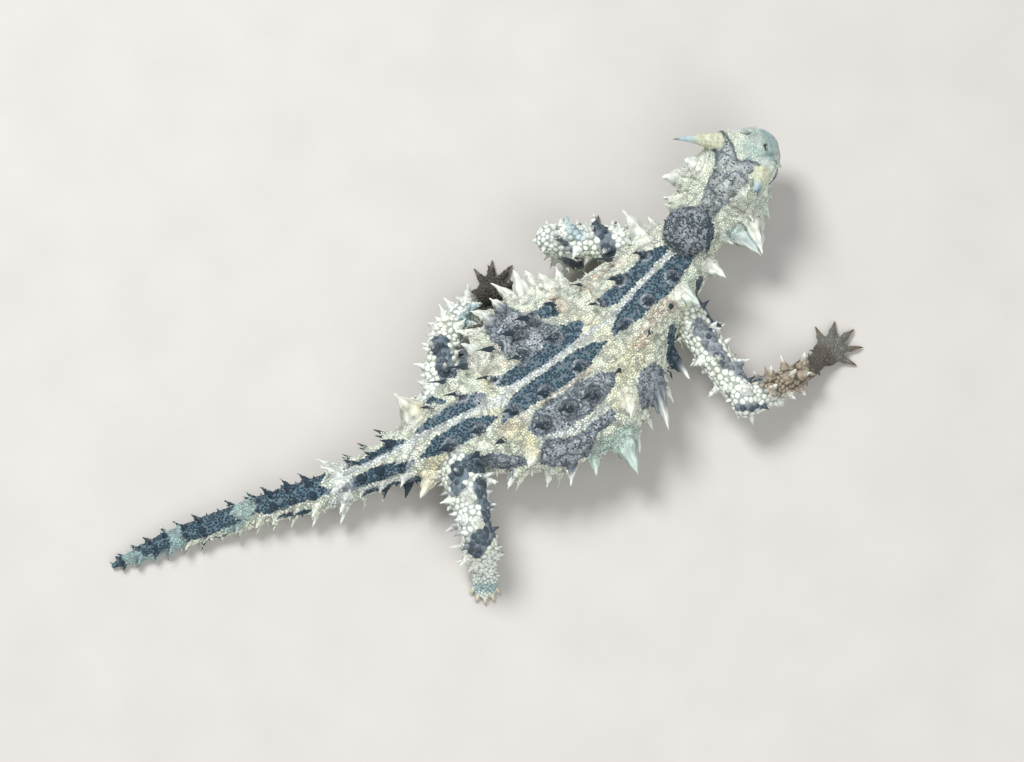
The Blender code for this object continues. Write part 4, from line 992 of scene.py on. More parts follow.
def body_marks(at, flat, wobble):
    """The marks of the body's patches, folds and wrinkles, and none on the limbs."""
    length, girth, points = at.length, at.girth, at.points
    marks = np.zeros((len(points), len(MARKS)))
    dark = nearest_outline(flat, DARK_PATCHES_AND_NECK_SHADE) + wobble
    ash = nearest_outline(flat, ASH_PATCHES) + wobble
    plates = nearest_outline(flat, CHEEK_PLATES) + 0.5 * wobble
    lines = wrinkles_at(points)
    cones = cone_distance(length, girth)
    folds = folds_round_cones(cones, points)
    in_dark, in_ash = fade(dark, -0.1, 0.1), fade(ash, -0.1, 0.1)
    rim = 0.75 * bump(ash + 0.4, 0.4) * (0.6 + 0.4 * smooth_noise(points, 1.8, 8))
    border = fade(length, 146.0, NECK_MIDDLE) * bump(ash + 0.2, 0.28)
    pleats = np.cos((length + 0.5 * girth + 0.5 * smooth_noise(points, 2.0, 3)) / 0.95 * math.tau)
    cheek = bump(length - NECK_MIDDLE, 3.5) * fade(-girth, 2.5, 1.5)
    # Inside the ashen patches: dark rims and lines, the dark middles of the cones, and painted shade in the
    # fold grooves round the cones
    rims_lines_and_fold_shade = np.maximum.reduce([np.clip(rim, 0, 1), 0.75 * lines, 0.9 * folds, fade(cones, 0.9, 1.3)])
    marks[:, DARK] = np.maximum(in_dark * (1 - 0.8 * bump(cones - 1.4, 0.3)), in_ash * rims_lines_and_fold_shade)
    marks[:, ASH] = np.maximum.reduce([
        in_dark, in_ash * np.where(length > 137, 0.75, 1.0), 0.35 * lines,
        0.2 * cheek * fade(pleats, -0.5, -0.1),
    ])
    marks[:, MINT] = fade(length, 150.0, 146.0) * np.clip(0.3 + 0.4 * smooth_noise(points, 3.0, 9), 0, 1)
    marks[:, TEAL] = fade(length, 159.5, 156.5) * 0.4
    # Dark lines of the wrinkles, the neck's border, the cheek plates' outlines, the folds round the cones and
    # the cheek's pleats: partly the hide's own lines, partly painted shade in the grooves that the forms
    # carve
    marks[:, DARK_LINES_AND_SHADE] = fade(np.abs(at.angle), 100.0, 125.0) * np.maximum.reduce([
        np.where(length > 147, 0.16, 0.5) * lines * (1 - in_dark), 0.8 * border,
        0.6 * bump(plates - 0.15, 0.16), 0.35 * folds * in_ash, 0.4 * cheek * fade(pleats, -0.9, -0.6),
    ])
    left_rings = bump(cones - 1.3, 0.8) * (girth > 4.0) * (length > 80) * (1 - marks[:, DARK])
    marks[:, BLUSH] = 0.7 * left_rings
    marks[~at.torso] = 0.0
    return marks


def add_streaks(marks, at, flat, wobble):
    """The streaks of the body and of the limbs."""
    limbs = ~at.torso
    for mark, amount, path, half, soft in FLAT_STREAKS:
        found = amount * fade(strip(flat, path, half) + wobble, -soft / 2, soft / 2) * at.torso
        deepen(marks, mark, found)
        if mark == BRIGHT:
            marks[:, DARK] *= 1 - found
    marks[limbs, BRIGHT] = np.clip(0.6 + 0.4 * smooth_noise(at.points[limbs], 2.6, 16), 0.15, 0.9)
    for mark, amount, path, half, soft in LIMB_STREAKS:
        share = fade(strip(at.points, path, half) + wobble, -soft / 2, soft / 2)
        deepen(marks, mark, amount * share)
        if mark == DARK:
            deepen(marks, ASH, share)


def add_knob_marks(marks, points):
    """The knob: ashen with dark wrinkles, a dark ring of painted shade in the fold round its foot, and a
    crescent of painted shade on its front right side.
    """
    knob = norms((points - KNOB_CENTRE) / (KNOB_HALVES * KNOB_RIM))
    near = np.flatnonzero(knob < 1.25)
    knob, points, found = knob[near], points[near], marks[near]
    lines = wrinkles_at(points)
    on_knob = fade(knob, 1.0, 1.06)
    # Painted shade: a dark crescent on the knob's front right side stands for the shadow between the knob and
    # the neck.
    painted_shade_crescent = fade((points - KNOB_CENTRE) / KNOB_HALVES @ (-0.62, -0.78, 0.0), 0.8, 0.68)
    dark = found[:, DARK] * (1 - on_knob) + on_knob * np.maximum(0.3, lines)
    # The ring just outside the knob is painted shade in the fold round its foot.
    dark_lines_and_shade = on_knob * np.maximum(0.85 * lines, 0.5 * bump(knob - 1.06, 0.05))
    deepen(found, ASH, on_knob)
    deepen(found, DARK_LINES_AND_SHADE, dark_lines_and_shade)
    found[:, DARK] = np.maximum(dark, painted_shade_crescent)
    marks[near] = found


def marks_at(points):
    """The amount of each mark at points of the skin."""
    at = places_of(points)
    flat = np.stack([at.length, at.girth], 1)
    wobble = 0.14 * smooth_noise(points, 0.7, 5) + 0.2 * smooth_noise(points, 2.5, 6)
    marks = body_marks(at, flat, wobble)
    add_streaks(marks, at, flat, wobble)
    # Painted shade: a dark ring round each eye stands for the shadow that the brow casts into the socket, and
    # the lids take it too.
    for side in SIDES:
        socket = norms(points - head_point(side, EYE_PLACE))
        around = 0.9 * fade(socket, 2.3, 2.9)
        deepen(marks, ASH, around)
        deepen(marks, DARK, around)
    add_knob_marks(marks, points)
    return marks


# Scales

def random_places(points, triangles, wanted, crowd, rng):
    """Random places on triangles, crowd for each square of the wanted spacing, with normals and spacings."""
    a, b, c = (points[triangles[:, i]] for i in range(3))
    cross = np.cross(b - a, c - a)
    weights = norms(cross) / 2 / np.maximum(wanted, 0.2) ** 2 * (wanted > 0)
    total = np.cumsum(weights)
    count = int(total[-1] * crowd)
    pick = np.searchsorted(total, rng.uniform(0, total[-1], count))
    u, v = rng.uniform(0, 1, (2, count))
    flip = u + v > 1
    u[flip], v[flip] = 1 - u[flip], 1 - v[flip]
    places = a[pick] + u[:, None] * (b - a)[pick] + v[:, None] * (c - a)[pick]
    return places, unit(cross[pick]), wanted[pick]


def triangles_of(obj):
    obj.data.calc_loop_triangles()
    found = np.empty(len(obj.data.loop_triangles) * 3, np.int32)
    obj.data.loop_triangles.foreach_get("vertices", found)
    return found.reshape(-1, 3)


# How far apart the scales are: by the length along the body, and how much wider round it, by the angle
SPACING_ALONG = {0: 0.36, 40: 0.44, 64: 0.40, 75: 0.39, 120: 0.39, 140: 0.35, 150: 0.32, 158: 0.28}
SPACING_ROUND = {60: 1.0, 110: 1.3, 180: 1.9}
LIMB_SPACING, FOOT_SPACING, WRIST_MORE = (0.88, 0.8), 0.48, 0.12  # the last is added at the wrist


def scale_spacing(points):
    """How far apart the scales are at points of the skin: small on the face and feet, wide on the limbs."""
    length, angle, _, outside = body_place(points)
    nearest, share, room = limb_place(points)
    spacing = np.interp(length, list(SPACING_ALONG), list(SPACING_ALONG.values()))
    spacing = spacing * np.interp(np.abs(angle), list(SPACING_ROUND), list(SPACING_ROUND.values()))
    limb = np.choose(nearest % 3, (*LIMB_SPACING, FOOT_SPACING + WRIST_MORE * (1 - share)))
    return np.where(outside < room, spacing, limb)


def thin_out(places, spacing, order):
    """The places that stay when each one clears its surroundings."""
    tree = point_tree(places)
    free = np.ones(len(places), bool)
    kept = []
    for index in order:
        if free[index]:
            kept.append(index)
            for _, other, _ in tree.find_range(places[index], spacing[index]):
                free[other] = False
    return np.array(kept)


SCALE_SIDES = 7
SCALE_RINGS = ((1.0, -0.2), (0.74, 0.62))  # share of the radius, share of the height
PLATE_RINGS = ((1.0, -0.6), (0.84, 0.7))
STUD_RINGS = ((1.0, -0.15), (0.62, 0.24))
SCALE_SHARE = 1.02  # how much of the way to the middle between two scales each of them takes
NEIGHBOURS = 9


def neighbours_of(roots):
    """The ways from each root to the ones nearest to it."""
    tree = point_tree(roots)
    found = [tree.find_n(root, NEIGHBOURS + 1)[1:] for root in roots]
    nearest = np.array([[index for _, index, _ in near] for near in found])
    return roots[nearest] - roots[:, None]


def scale_form(rings):
    """One scale in its own measure, on its rings of (share of the radius, share of the height)."""
    turns = full_turn(SCALE_SIDES)
    local = [
        (share * math.cos(turn), share * math.sin(turn), lift)
        for share, lift in rings for turn in turns
    ]
    return turns, np.array(local + [(0.0, 0.0, 1.0)])


def scales(roots, normals, radii, heights, around, rings, rng):
    """Low domes or studs that end half way to their neighbours: points, polygons and the form of one."""
    count = len(roots)
    turns, local = scale_form(rings)
    across = unit(np.cross(normals, rng.normal(size=(count, 3))))
    other = np.cross(normals, across)
    flat = np.stack([(around * across[:, None]).sum(2), (around * other[:, None]).sum(2)], -1)
    toward = flat @ np.stack([np.cos(turns), np.sin(turns)])
    half = (flat**2).sum(2)[:, :, None] / 2 / np.maximum(toward, 1e-6)
    reach = np.minimum(radii[:, None], SCALE_SHARE * half.min(1))
    reach = np.concatenate([reach] * len(rings) + [reach[:, :1]], 1)[:, :, None]
    wide = local[None, :, 0:1] * across[:, None, :] + local[None, :, 1:2] * other[:, None, :]
    points = roots[:, None, :] + reach * wide
    points = points + heights[:, None, None] * local[None, :, 2:3] * normals[:, None, :]
    points[..., 2] = np.maximum(points[..., 2], 0.01)
    size = len(local)
    ring = np.arange(SCALE_SIDES)
    after = np.roll(ring, -1)
    quads = np.stack([ring, after, after + SCALE_SIDES, ring + SCALE_SIDES], 1)
    fan = np.stack([ring + SCALE_SIDES, after + SCALE_SIDES, np.full(SCALE_SIDES, size - 1)], 1)
    starts = (np.arange(count) * size)[:, None, None]
    faces = (quads, fan, ring[::-1][None, :])
    return points.reshape(-1, 3), [(face[None] + starts).reshape(-1, face.shape[1]) for face in faces], local


TAIL_Y = 36.0  # the tail lies beyond it
PALER_SHARES = {"tail": 0.12, "rest": 0.26}  # of the scales that are less dark than their surroundings


def vary(marks, roots, rng):
    """Gives each scale its own share of the marks, more so on the knob and the ashen patches."""
    marks = marks.copy()
    chance = rng.uniform(0, 1, len(roots))
    knob = norms((roots - KNOB_CENTRE) / (KNOB_HALVES * KNOB_RIM)) < 1.03
    ashen = marks[:, ASH] * (1 - marks[:, DARK]) > 0.6
    on_knob = np.clip(marks[:, DARK] + np.where(chance < 0.45, 0.6, -0.2), 0, 1)
    dark = np.where(knob, on_knob, np.where(ashen & (chance < 0.2), 0.85, marks[:, DARK]))
    paler = np.where(roots[:, 1] > TAIL_Y, PALER_SHARES["tail"], PALER_SHARES["rest"])
    marks[:, DARK] = dark * np.where(chance > 1 - paler, 0.45, 1.0)
    marks[:, WARM] *= 0.6 + 0.5 * chance
    marks[:, BLUSH] *= np.where(chance > 0.4, 1.0, 0.5)
    return np.clip(marks, 0, 1)


# Looks that the materials read

def set_looks(obj, marks, form):
    """Stores the marks and the form: (top of a scale, crease with its painted shade and the dark lines,
    random shade).
    """
    form = np.stack([form[:, 0], np.maximum(form[:, 1], marks[:, DARK_LINES_AND_SHADE]), form[:, 2]], 1)
    values = {"marks_a": marks[:, :3], "marks_b": marks[:, 3:6], "marks_c": marks[:, 6:9], "form": form}
    for name, vectors in values.items():
        attribute = obj.data.attributes.new(name, "FLOAT_VECTOR", "POINT")
        attribute.data.foreach_set("vector", np.asarray(vectors, np.float32).ravel())


# The flat map: the rows of the body and the limbs on it, and the millimetres that its whole side stands for
MAP_EDGE, MAP_BODY_ROW, MAP_LIMB_ROW, MAP_LIMB_STEP = 0.01, 0.33, 0.75, 0.16
MAP_BODY_LENGTH, MAP_BODY_GIRTH, MAP_LIMB_LENGTH = 170, 135, 125
LIMB_PART_STARTS = (0.0, 27.0, 45.0)


def unwrap(roots):
    """Places of roots on a flat map of the skin: the body along its middle, the limbs above it."""
    length, _, girth, outside = body_place(roots)
    nearest, share, room = limb_place(roots)
    limb, part = nearest // 3, nearest % 3
    starts = np.array([stretch[0] for stretch in STRETCHES])[nearest]
    ends = np.array([stretch[2] for stretch in STRETCHES])[nearest]
    axis = unit(ends - starts)
    above = unit(np.cross(axis, np.where(np.abs(axis[:, 2:3]) > 0.8, (0.0, 1.0, 0.0), (0.0, 0.0, 1.0))))
    out = roots - starts
    turn = np.arctan2((out * np.cross(axis, above)).sum(1), (out * above).sum(1)) / math.tau
    along = np.array(LIMB_PART_STARTS)[part] + share * norms(ends - starts)
    limb_u = MAP_EDGE + 0.5 * (limb % 2) + along / MAP_LIMB_LENGTH
    limb_v = MAP_LIMB_ROW + MAP_LIMB_STEP * (limb // 2) + 0.14 * turn
    torso = outside < room
    u = np.where(torso, MAP_EDGE + length / MAP_BODY_LENGTH, limb_u)
    return np.stack([u, np.where(torso, MAP_BODY_ROW + girth / MAP_BODY_GIRTH, limb_v)], 1)


def add_bake_map(obj, places):
    """A map with one place for each point."""
    corners = np.empty(len(obj.data.loops), np.int32)
    obj.data.loops.foreach_get("vertex_index", corners)
    layer = obj.data.uv_layers.new(name="OFBake")
    layer.data.foreach_set("uv", places[corners].astype(np.float32).ravel())


# Materials

# Tones of the hide, on the scales' tops and in the gaps between them. The darker gaps of the pale and white
# hide are painted shade between the scales; the lighter gaps of the ashen and dark hide are its own network.
PALE_TOP, PALE_GAP_SHADE, WHITE_GAP_SHADE = (0.83, 0.87, 0.76), (0.56, 0.59, 0.52), (0.52, 0.56, 0.57)
WARM_TONE, BLUSH_TONE, WHITE = (0.76, 0.71, 0.48), (0.66, 0.49, 0.41), (0.77, 0.81, 0.79)
MINT_TONE, TEAL_TONE = (0.50, 0.66, 0.60), (0.24, 0.42, 0.46)
SAND_TOP, SAND_GAP = (0.30, 0.235, 0.155), (0.07, 0.05, 0.032)
ASH_TOP, ASH_GAP = (0.24, 0.27, 0.31), (0.50, 0.53, 0.55)
DARK_TOP, DARK_GAP = (0.012, 0.030, 0.049), (0.078, 0.155, 0.20)
# The dark tone of creases paints shade in creases, folds, openings and grooves, and the hide's dark lines
DARK_FOOT_TOP, DARK_FOOT_GAP, CREASE_SHADE_AND_LINE_TONE = (0.045, 0.038, 0.035), (0.12, 0.105, 0.09), (0.045, 0.05, 0.045)


class Nodes:
    """A short way to write a node material."""

    def __init__(self, name):
        self.material = bpy.data.materials.new(name)
        self.material.use_nodes = True
        self.tree = self.material.node_tree
        self.shader = self.tree.nodes["Principled BSDF"]

    def add(self, kind, **values):
        node = self.tree.nodes.new(kind)
        for name, value in values.items():
            setattr(node, name, value)
        return node

    def link(self, output, socket):
        self.tree.links.new(output, socket)

    def set(self, socket, value):
        if isinstance(value, bpy.types.NodeSocket):
            self.link(value, socket)
        elif isinstance(value, tuple) and socket.type == "RGBA":
            socket.default_value = (*value, 1.0)
        else:
            socket.default_value = value

    def mix(self, factor, first, second, blend="MIX"):
        node = self.add("ShaderNodeMix", data_type="RGBA", blend_type=blend)
        self.set(node.inputs[0], factor)
        self.set(node.inputs[6], first)
        self.set(node.inputs[7], second)
        return node.outputs[2]

    def math(self, operation, *values):
        node = self.add("ShaderNodeMath", operation=operation)
        for socket, value in zip(node.inputs, values):
            self.set(socket, value)
        return node.outputs[0]

    def range(self, value, low, high, to_low=0.0, to_high=1.0):
        node = self.add("ShaderNodeMapRange")
        for socket, setting in zip(node.inputs, (value, low, high, to_low, to_high)):
            self.set(socket, setting)
        return node.outputs[0]

    def noise(self, scale, detail=3.0):
        """Noise whose lumps are about 1/scale metres."""
        place = self.add("ShaderNodeTexCoord").outputs["Object"]
        node = self.add("ShaderNodeTexNoise")
        self.set(node.inputs["Vector"], place)
        self.set(node.inputs["Scale"], scale)
        self.set(node.inputs["Detail"], detail)
        return node.outputs["Fac"]

    def number(self, name):
        return self.add("ShaderNodeAttribute", attribute_name=name).outputs["Fac"]

    def parts(self, name):
        node = self.add("ShaderNodeAttribute", attribute_name=name)
        split = self.add("ShaderNodeSeparateXYZ")
        self.link(node.outputs["Vector"], split.inputs[0])
        return split.outputs

    def bump(self, height, strength, distance):
        node = self.add("ShaderNodeBump")
        self.set(node.inputs["Strength"], strength)
        self.set(node.inputs["Distance"], distance)
        self.set(node.inputs["Height"], height)
        self.link(node.outputs[0], self.shader.inputs["Normal"])


def hide_material():
    """The hide's colours from its marks, darker or lighter between the scales than on them: painted shade
    between the pale scales, a lighter network of the hide's own between the ashen and dark ones.
    """
    made = Nodes("hide")
    dark, ash, warm = made.parts("marks_a")
    blush, bright, mint = made.parts("marks_b")
    sand, dark_foot, teal = made.parts("marks_c")
    top, crease, shade = made.parts("form")
    mottle = made.noise(900.0)
    fine = made.noise(3200.0, 2.0)
    pale = made.mix(made.math("MULTIPLY", warm, made.range(mottle, 0.3, 0.6, 0.5, 1.0)), PALE_TOP, WARM_TONE)
    pale = made.mix(made.math("MULTIPLY", blush, made.range(mottle, 0.38, 0.58)), pale, BLUSH_TONE)
    pale = made.mix(bright, pale, WHITE)
    pale = made.mix(mint, pale, MINT_TONE)
    pale = made.mix(teal, pale, TEAL_TONE)
    # Painted shade between the pale and white scales
    gap = made.mix(1.0, pale, made.mix(bright, PALE_GAP_SHADE, WHITE_GAP_SHADE), "MULTIPLY")
    colour = made.mix(top, gap, pale)
    colour = made.mix(sand, colour, made.mix(top, SAND_GAP, SAND_TOP))
    colour = made.mix(ash, colour, made.mix(top, ASH_GAP, ASH_TOP))
    colour = made.mix(dark, colour, made.mix(top, DARK_GAP, DARK_TOP))
    colour = made.mix(dark_foot, colour, made.mix(top, DARK_FOOT_GAP, DARK_FOOT_TOP))
    shaded = made.math("ADD", made.math("MULTIPLY", shade, 0.5), made.math("MULTIPLY", fine, 0.5))
    light = made.mix(made.range(shaded, 0.2, 0.8), (0.78, 0.78, 0.76), (1.10, 1.10, 1.10))
    colour = made.mix(1.0, colour, light, "MULTIPLY")
    # Painted shade in creases, folds, openings and grooves, with the hide's dark lines, darkens the colour
    # towards the crease tone
    colour = made.mix(made.math("MULTIPLY", crease, 0.9), colour, CREASE_SHADE_AND_LINE_TONE)
    made.link(colour, made.shader.inputs["Base Color"])
    made.link(made.range(fine, 0.3, 0.7, 0.5, 0.78), made.shader.inputs["Roughness"])
    made.bump(fine, 0.5, 0.0002)
    return made.material


CLAW_LOOKS = {  # two tones of the horn, the tone of the tip and where along the claw it comes in
    "claw": ((0.10, 0.075, 0.05), (0.17, 0.13, 0.09), (0.02, 0.016, 0.013), (0.4, 0.9)),
    "claw_pale": ((0.50, 0.46, 0.34), (0.66, 0.63, 0.50), (0.22, 0.18, 0.12), (0.6, 1.0)),
}


def claw_material(name):
    low, high, tip_tone, tip_span = CLAW_LOOKS[name]
    made = Nodes(name)
    streaks = made.noise(1500.0)
    colour = made.mix(made.range(streaks, 0.3, 0.7), low, high)
    colour = made.mix(made.range(made.number("tip"), *tip_span), colour, tip_tone)
    made.link(colour, made.shader.inputs["Base Color"])
    made.shader.inputs["Roughness"].default_value = 0.35
    made.shader.inputs["Coat Weight"].default_value = 0.3
    made.bump(streaks, 0.2, 0.0001)
    return made.material


# The head's separate pieces

def store_number(obj, name, values):
    obj.data.attributes.new(name, "FLOAT", "POINT").data.foreach_set("value", np.asarray(values, np.float32))


HORN_WIDTHS = {-0.05: 1.1, 0.04: 1.06, 0.15: 0.9, 0.38: 0.62, 0.66: 0.36, 0.85: 0.17, 1.0: 0.02}


def horn_mesh(side):
    """The long horn over one eye, with ridges along it, growth rings, a wider foot and a fine tip."""
    root = head_point(side, HORN_PLACE)
    length, lean = HORNS[side]
    direction = head_lean(side, HORN_PLACE[0], lean)
    bend = head_lean(side, HORN_PLACE[0], (1.0, -0.15, -0.1)) * 0.12
    shares = np.linspace(-0.05, 0.99, 60)
    widths = np.interp(shares, list(HORN_WIDTHS), list(HORN_WIDTHS.values()))
    turns = full_turn(32)
    across = unit(np.cross(direction, UP))
    other = np.cross(direction, across)
    ridges = 0.08 * np.cos(7 * turns + 4 * shares[:, None]) + 0.02 * np.cos(shares * 50.0)[:, None]
    spread = (HORN_RADIUS * widths)[:, None] * (1 + ridges * (1 - shares[:, None]))
    centres = root + (direction * shares[:, None] + bend * np.maximum(shares, 0)[:, None] ** 2) * length
    rings = centres[:, None, :] + spread[..., None] * (
        np.cos(turns)[None, :, None] * across + np.sin(turns)[None, :, None] * other
    )
    obj = loft("horn_" + SIDES[side], rings)
    store_number(obj, "tip", np.repeat(np.clip(shares, 0.0, 1.0), len(turns)))
    return obj


def horn_material():
    made = Nodes("horn")
    tip = made.number("tip")
    streaks = made.noise(1100.0)
    fine = made.noise(4200.0, 2.0)
    colour = made.mix(made.range(streaks, 0.35, 0.65), (0.50, 0.52, 0.36), (0.72, 0.75, 0.58))
    colour = made.mix(made.range(fine, 0.54, 0.66, 0.0, 0.75), colour, (0.25, 0.24, 0.13))
    colour = made.mix(made.range(tip, 0.45, 0.75, 0.0, 0.8), colour, (0.34, 0.52, 0.62))
    colour = made.mix(made.range(tip, 0.84, 0.97), colour, (0.04, 0.06, 0.08))
    made.link(colour, made.shader.inputs["Base Color"])
    made.shader.inputs["Roughness"].default_value = 0.45
    made.bump(streaks, 0.3, 0.0002)
    return made.material


GAZE_LEAN = (-0.12, 1.0, 0.25)  # how much the eyes look back, out and up


def eye_mesh(side):
    """The eyeball, with how far each point is from the middle of the pupil."""
    centre = head_point(side, EYE_PLACE)
    out = head_lean(side, EYE_PLACE[0], GAZE_LEAN)
    obj = ball("eyeball_" + SIDES[side], centre, (EYE_RADIUS - 0.06,) * 3, 64, 48)
    store_number(obj, "gaze", np.degrees(np.arccos(np.clip(unit(points_of(obj) - centre) @ out, -1, 1))))
    return obj


def eye_material():
    made = Nodes("eyeball")
    gaze = made.number("gaze")
    fleck = made.noise(4000.0)
    iris = made.mix(made.range(fleck, 0.4, 0.6), (0.05, 0.025, 0.012), (0.22, 0.13, 0.055))
    colour = made.mix(made.range(gaze, 17.0, 19.0), (0.004, 0.004, 0.004), iris)
    colour = made.mix(made.range(gaze, 36.0, 42.0), colour, (0.012, 0.010, 0.009))
    made.link(colour, made.shader.inputs["Base Color"])
    made.shader.inputs["Roughness"].default_value = 0.12
    made.shader.inputs["Coat Weight"].default_value = 1.0
    made.shader.inputs["Coat Roughness"].default_value = 0.03
    return made.material


# The lids' section: share of the way from the opening to the skin, and the lift over the eyeball
LID_ROWS = (
    (0.0, -0.12), (0.0, 0.10), (0.25, 0.34), (0.5, 0.42),
    (0.75, 0.30), (1.0, 0.0), (1.0, -0.35), (0.5, -0.35),
)
LID_OPENING, LID_REACH = 1.30, 2.45  # half the opening, and how far from its middle the lids end


def lid_mesh(side):
    """Both lids as one fleshy ring that lies on the eyeball and runs out into the skin."""
    centre = head_point(side, EYE_PLACE)
    out = head_lean(side, EYE_PLACE[0], GAZE_LEAN)
    ahead = unit(np.cross(UP, out)) * side
    above = np.cross(out, ahead) * side
    turns = full_turn(64)
    upper = np.sin(turns)
    inner = LID_OPENING - 0.26 * np.abs(upper) - 0.12 * np.maximum(upper, 0.0)
    rows = []
    for reach, lift in LID_ROWS:
        wide = inner + (LID_REACH - inner) * reach
        folds = 0.05 * np.cos(turns * 14) * (0 < reach < 1)
        over = np.sqrt(np.maximum(EYE_RADIUS**2 - wide**2, 0.0)) + lift + folds
        flat = np.cos(turns)[:, None] * ahead + upper[:, None] * above
        rows.append(centre + flat * wide[:, None] + over[:, None] * out)
    count = len(rows) * len(turns)
    quads, _ = loft_polygons(len(rows) + 1, len(turns))
    return mesh_object("lids_" + SIDES[side], np.array(rows).reshape(-1, 3), [quads % count])


def claw_meshes(limb_name):
    """The claws of one foot: bent cones that leave each digit's end."""
    claw_length = CLAW_LENGTH * CLOSE_FOOT.get(limb_name, (1.0, 1.0))[1]
    points, quads, ends, tips = [], [], [], []
    rings, sides = 12, 12
    shares = np.linspace(0.0, 0.97, rings)
    turns = full_turn(sides)
    for index, angle in enumerate(DIGITS):
        _, _, end, out = digit_path(limb_name, angle)
        drop = UP * (0.12 - 0.62 * shares[:, None] ** 2)
        centres = end + out * (0.35 + shares[:, None] * claw_length) + drop
        beside = np.cross(out, UP)
        radii = CLAW_RADIUS * (1 - shares) ** 0.75
        ring = np.cos(turns)[None, :, None] * beside + np.sin(turns)[None, :, None] * UP
        points.append((centres[:, None, :] + radii[:, None, None] * ring).reshape(-1, 3))
        ring_quads, ring_ends = loft_polygons(rings, sides, index * rings * sides)
        quads.append(ring_quads)
        ends.append(ring_ends)
        tips.append(np.repeat(shares, sides))
    points = np.concatenate(points)
    points[:, 2] = np.maximum(points[:, 2], 0.05)
    obj = mesh_object("claws_" + limb_name, points, [np.concatenate(quads), np.concatenate(ends)])
    store_number(obj, "tip", np.concatenate(tips))
    return obj


# Camera, floor and light

LIGHTS = (  # name, azimuth and elevation in degrees, size in metres, power
    ("key", 95.0, 61.0, 0.30, 4.7),
    ("fill", 255.0, 48.0, 0.6, 3.0),
)
LIGHT_DISTANCE, FLOOR_HALF = 0.7, 2.0  # metres
WORLD_TONE, WORLD_STRENGTH = (0.95, 0.97, 1.0, 1.0), 0.36


def direction_of(azimuth, elevation):
    return np.array((math.sin(azimuth) * math.cos(elevation), -math.cos(azimuth) * math.cos(elevation),
                     math.sin(elevation)))


def make_camera(shift):
    back = direction_of(CAMERA_AZIMUTH, CAMERA_ELEVATION)
    data = bpy.data.cameras.new("camera")
    data.sensor_width = SENSOR_WIDTH
    data.lens = SENSOR_WIDTH * CAMERA_DISTANCE / FRAME_WIDTH
    camera = bpy.data.objects.new("camera", data)
    camera.location = Vector(back * CAMERA_DISTANCE * MM) + shift
    camera.rotation_euler = Vector(-back).to_track_quat("-Z", "Y").to_euler()
    bpy.context.scene.collection.objects.link(camera)
    bpy.context.scene.camera = camera


def make_light(name, azimuth, elevation, size, power, shift):
    way = direction_of(math.radians(azimuth), math.radians(elevation))
    data = bpy.data.lights.new(name, "AREA")
    data.shape, data.size, data.energy = "DISK", size, power
    light = bpy.data.objects.new(name, data)
    light.location = Vector(way * LIGHT_DISTANCE) + shift
    light.rotation_euler = Vector(-way).to_track_quat("-Z", "Y").to_euler()
    bpy.context.scene.collection.objects.link(light)


def make_stage(shift):
    corners = np.array(((-1, -1, 0), (1, -1, 0), (1, 1, 0), (-1, 1, 0))) * FLOOR_HALF
    floor = mesh_object("floor", corners, [np.arange(4)[None, :]])
    made = Nodes("floor")
    grain = made.noise(60.0)
    made.link(made.mix(made.range(grain, 0.3, 0.7), (0.52, 0.50, 0.475), (0.55, 0.53, 0.505)),
              made.shader.inputs["Base Color"])
    made.shader.inputs["Roughness"].default_value = 0.9
    floor.data.materials.append(made.material)
    for light in LIGHTS:
        make_light(*light, shift)
    world = bpy.data.worlds.new("world")
    world.use_nodes = True
    background = world.node_tree.nodes["Background"]
    background.inputs["Color"].default_value = WORLD_TONE
    background.inputs["Strength"].default_value = WORLD_STRENGTH
    bpy.context.scene.world = world
    bpy.context.scene.view_settings.view_transform = "Standard"


# Placing the pieces

def place(obj, material, slot, shift, *nodes):
    """Moves a piece to the solids' frame, gives it its finish, hangs it under the root body and hides the
    nodes that it stands for.
    """
    set_points(obj, points_of(obj) * MM + np.array(shift))
    obj.data.materials.clear()
    obj.data.materials.append(material)
    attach(obj, "root")
    if nodes:
        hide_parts(*nodes)


SCALES_PER_PIECE = 7000
BAKE_PATCH = 0.0015  # half the size of a scale's place on the map
CROWD = 4.5  # how many random places there are for each square of the scales' spacing
PLACES_PER_STUD = 12  # one random place in so many may hold a stud
STUD_SPACING = {"limb": 2.6, "flank or tail": 2.2, "rest": 4.2}
SCALED_HAT = 1.7  # how far up the thorns the scales reach


def place_scales(name, roots, normals, radii, heights, marks, around, rings, hide, shift, rng):
    """Makes scales in pieces of a few thousand each."""
    for index, start in enumerate(range(0, len(roots), SCALES_PER_PIECE)):
        part = slice(start, start + SCALES_PER_PIECE)
        values = (array[part] for array in (roots, normals, radii, heights, around))
        points, polygons, local = scales(*values, rings, rng)
        obj = mesh_object(f"{name}_{index + 1}", points, polygons)
        count = len(roots[part])
        top = np.tile(np.where(local[:, 2] > 0, 1.0, 0.0), count)
        shade = np.repeat(rng.uniform(0, 1, count), len(local))
        looks = np.repeat(marks[part], len(local), axis=0)
        looks[:, DARK_LINES_AND_SHADE] = marks_at(points)[:, DARK_LINES_AND_SHADE]
        set_looks(obj, looks, np.stack([top, top * 0, shade], 1))
        flat = unwrap(roots[part])[:, None, :] + local[None, :, :2] * BAKE_PATCH
        add_bake_map(obj, flat.reshape(-1, 2))
        place(obj, hide, "skin", shift)


def stud_places(roots, order, first, limb):
    """Where studs stand: some of the places on the skin itself, far apart."""
    length, angle, _, _ = body_place(roots)
    low = (np.abs(angle) > 62) & (length < 150) | (length < 62)
    spacing = np.where(low, STUD_SPACING["flank or tail"], STUD_SPACING["rest"])
    spacing = np.where(limb, STUD_SPACING["limb"], spacing)
    sparse = order[::PLACES_PER_STUD]
    sparse = sparse[sparse < first]
    return sparse[thin_out(roots[sparse], spacing[sparse], np.arange(len(sparse)))]


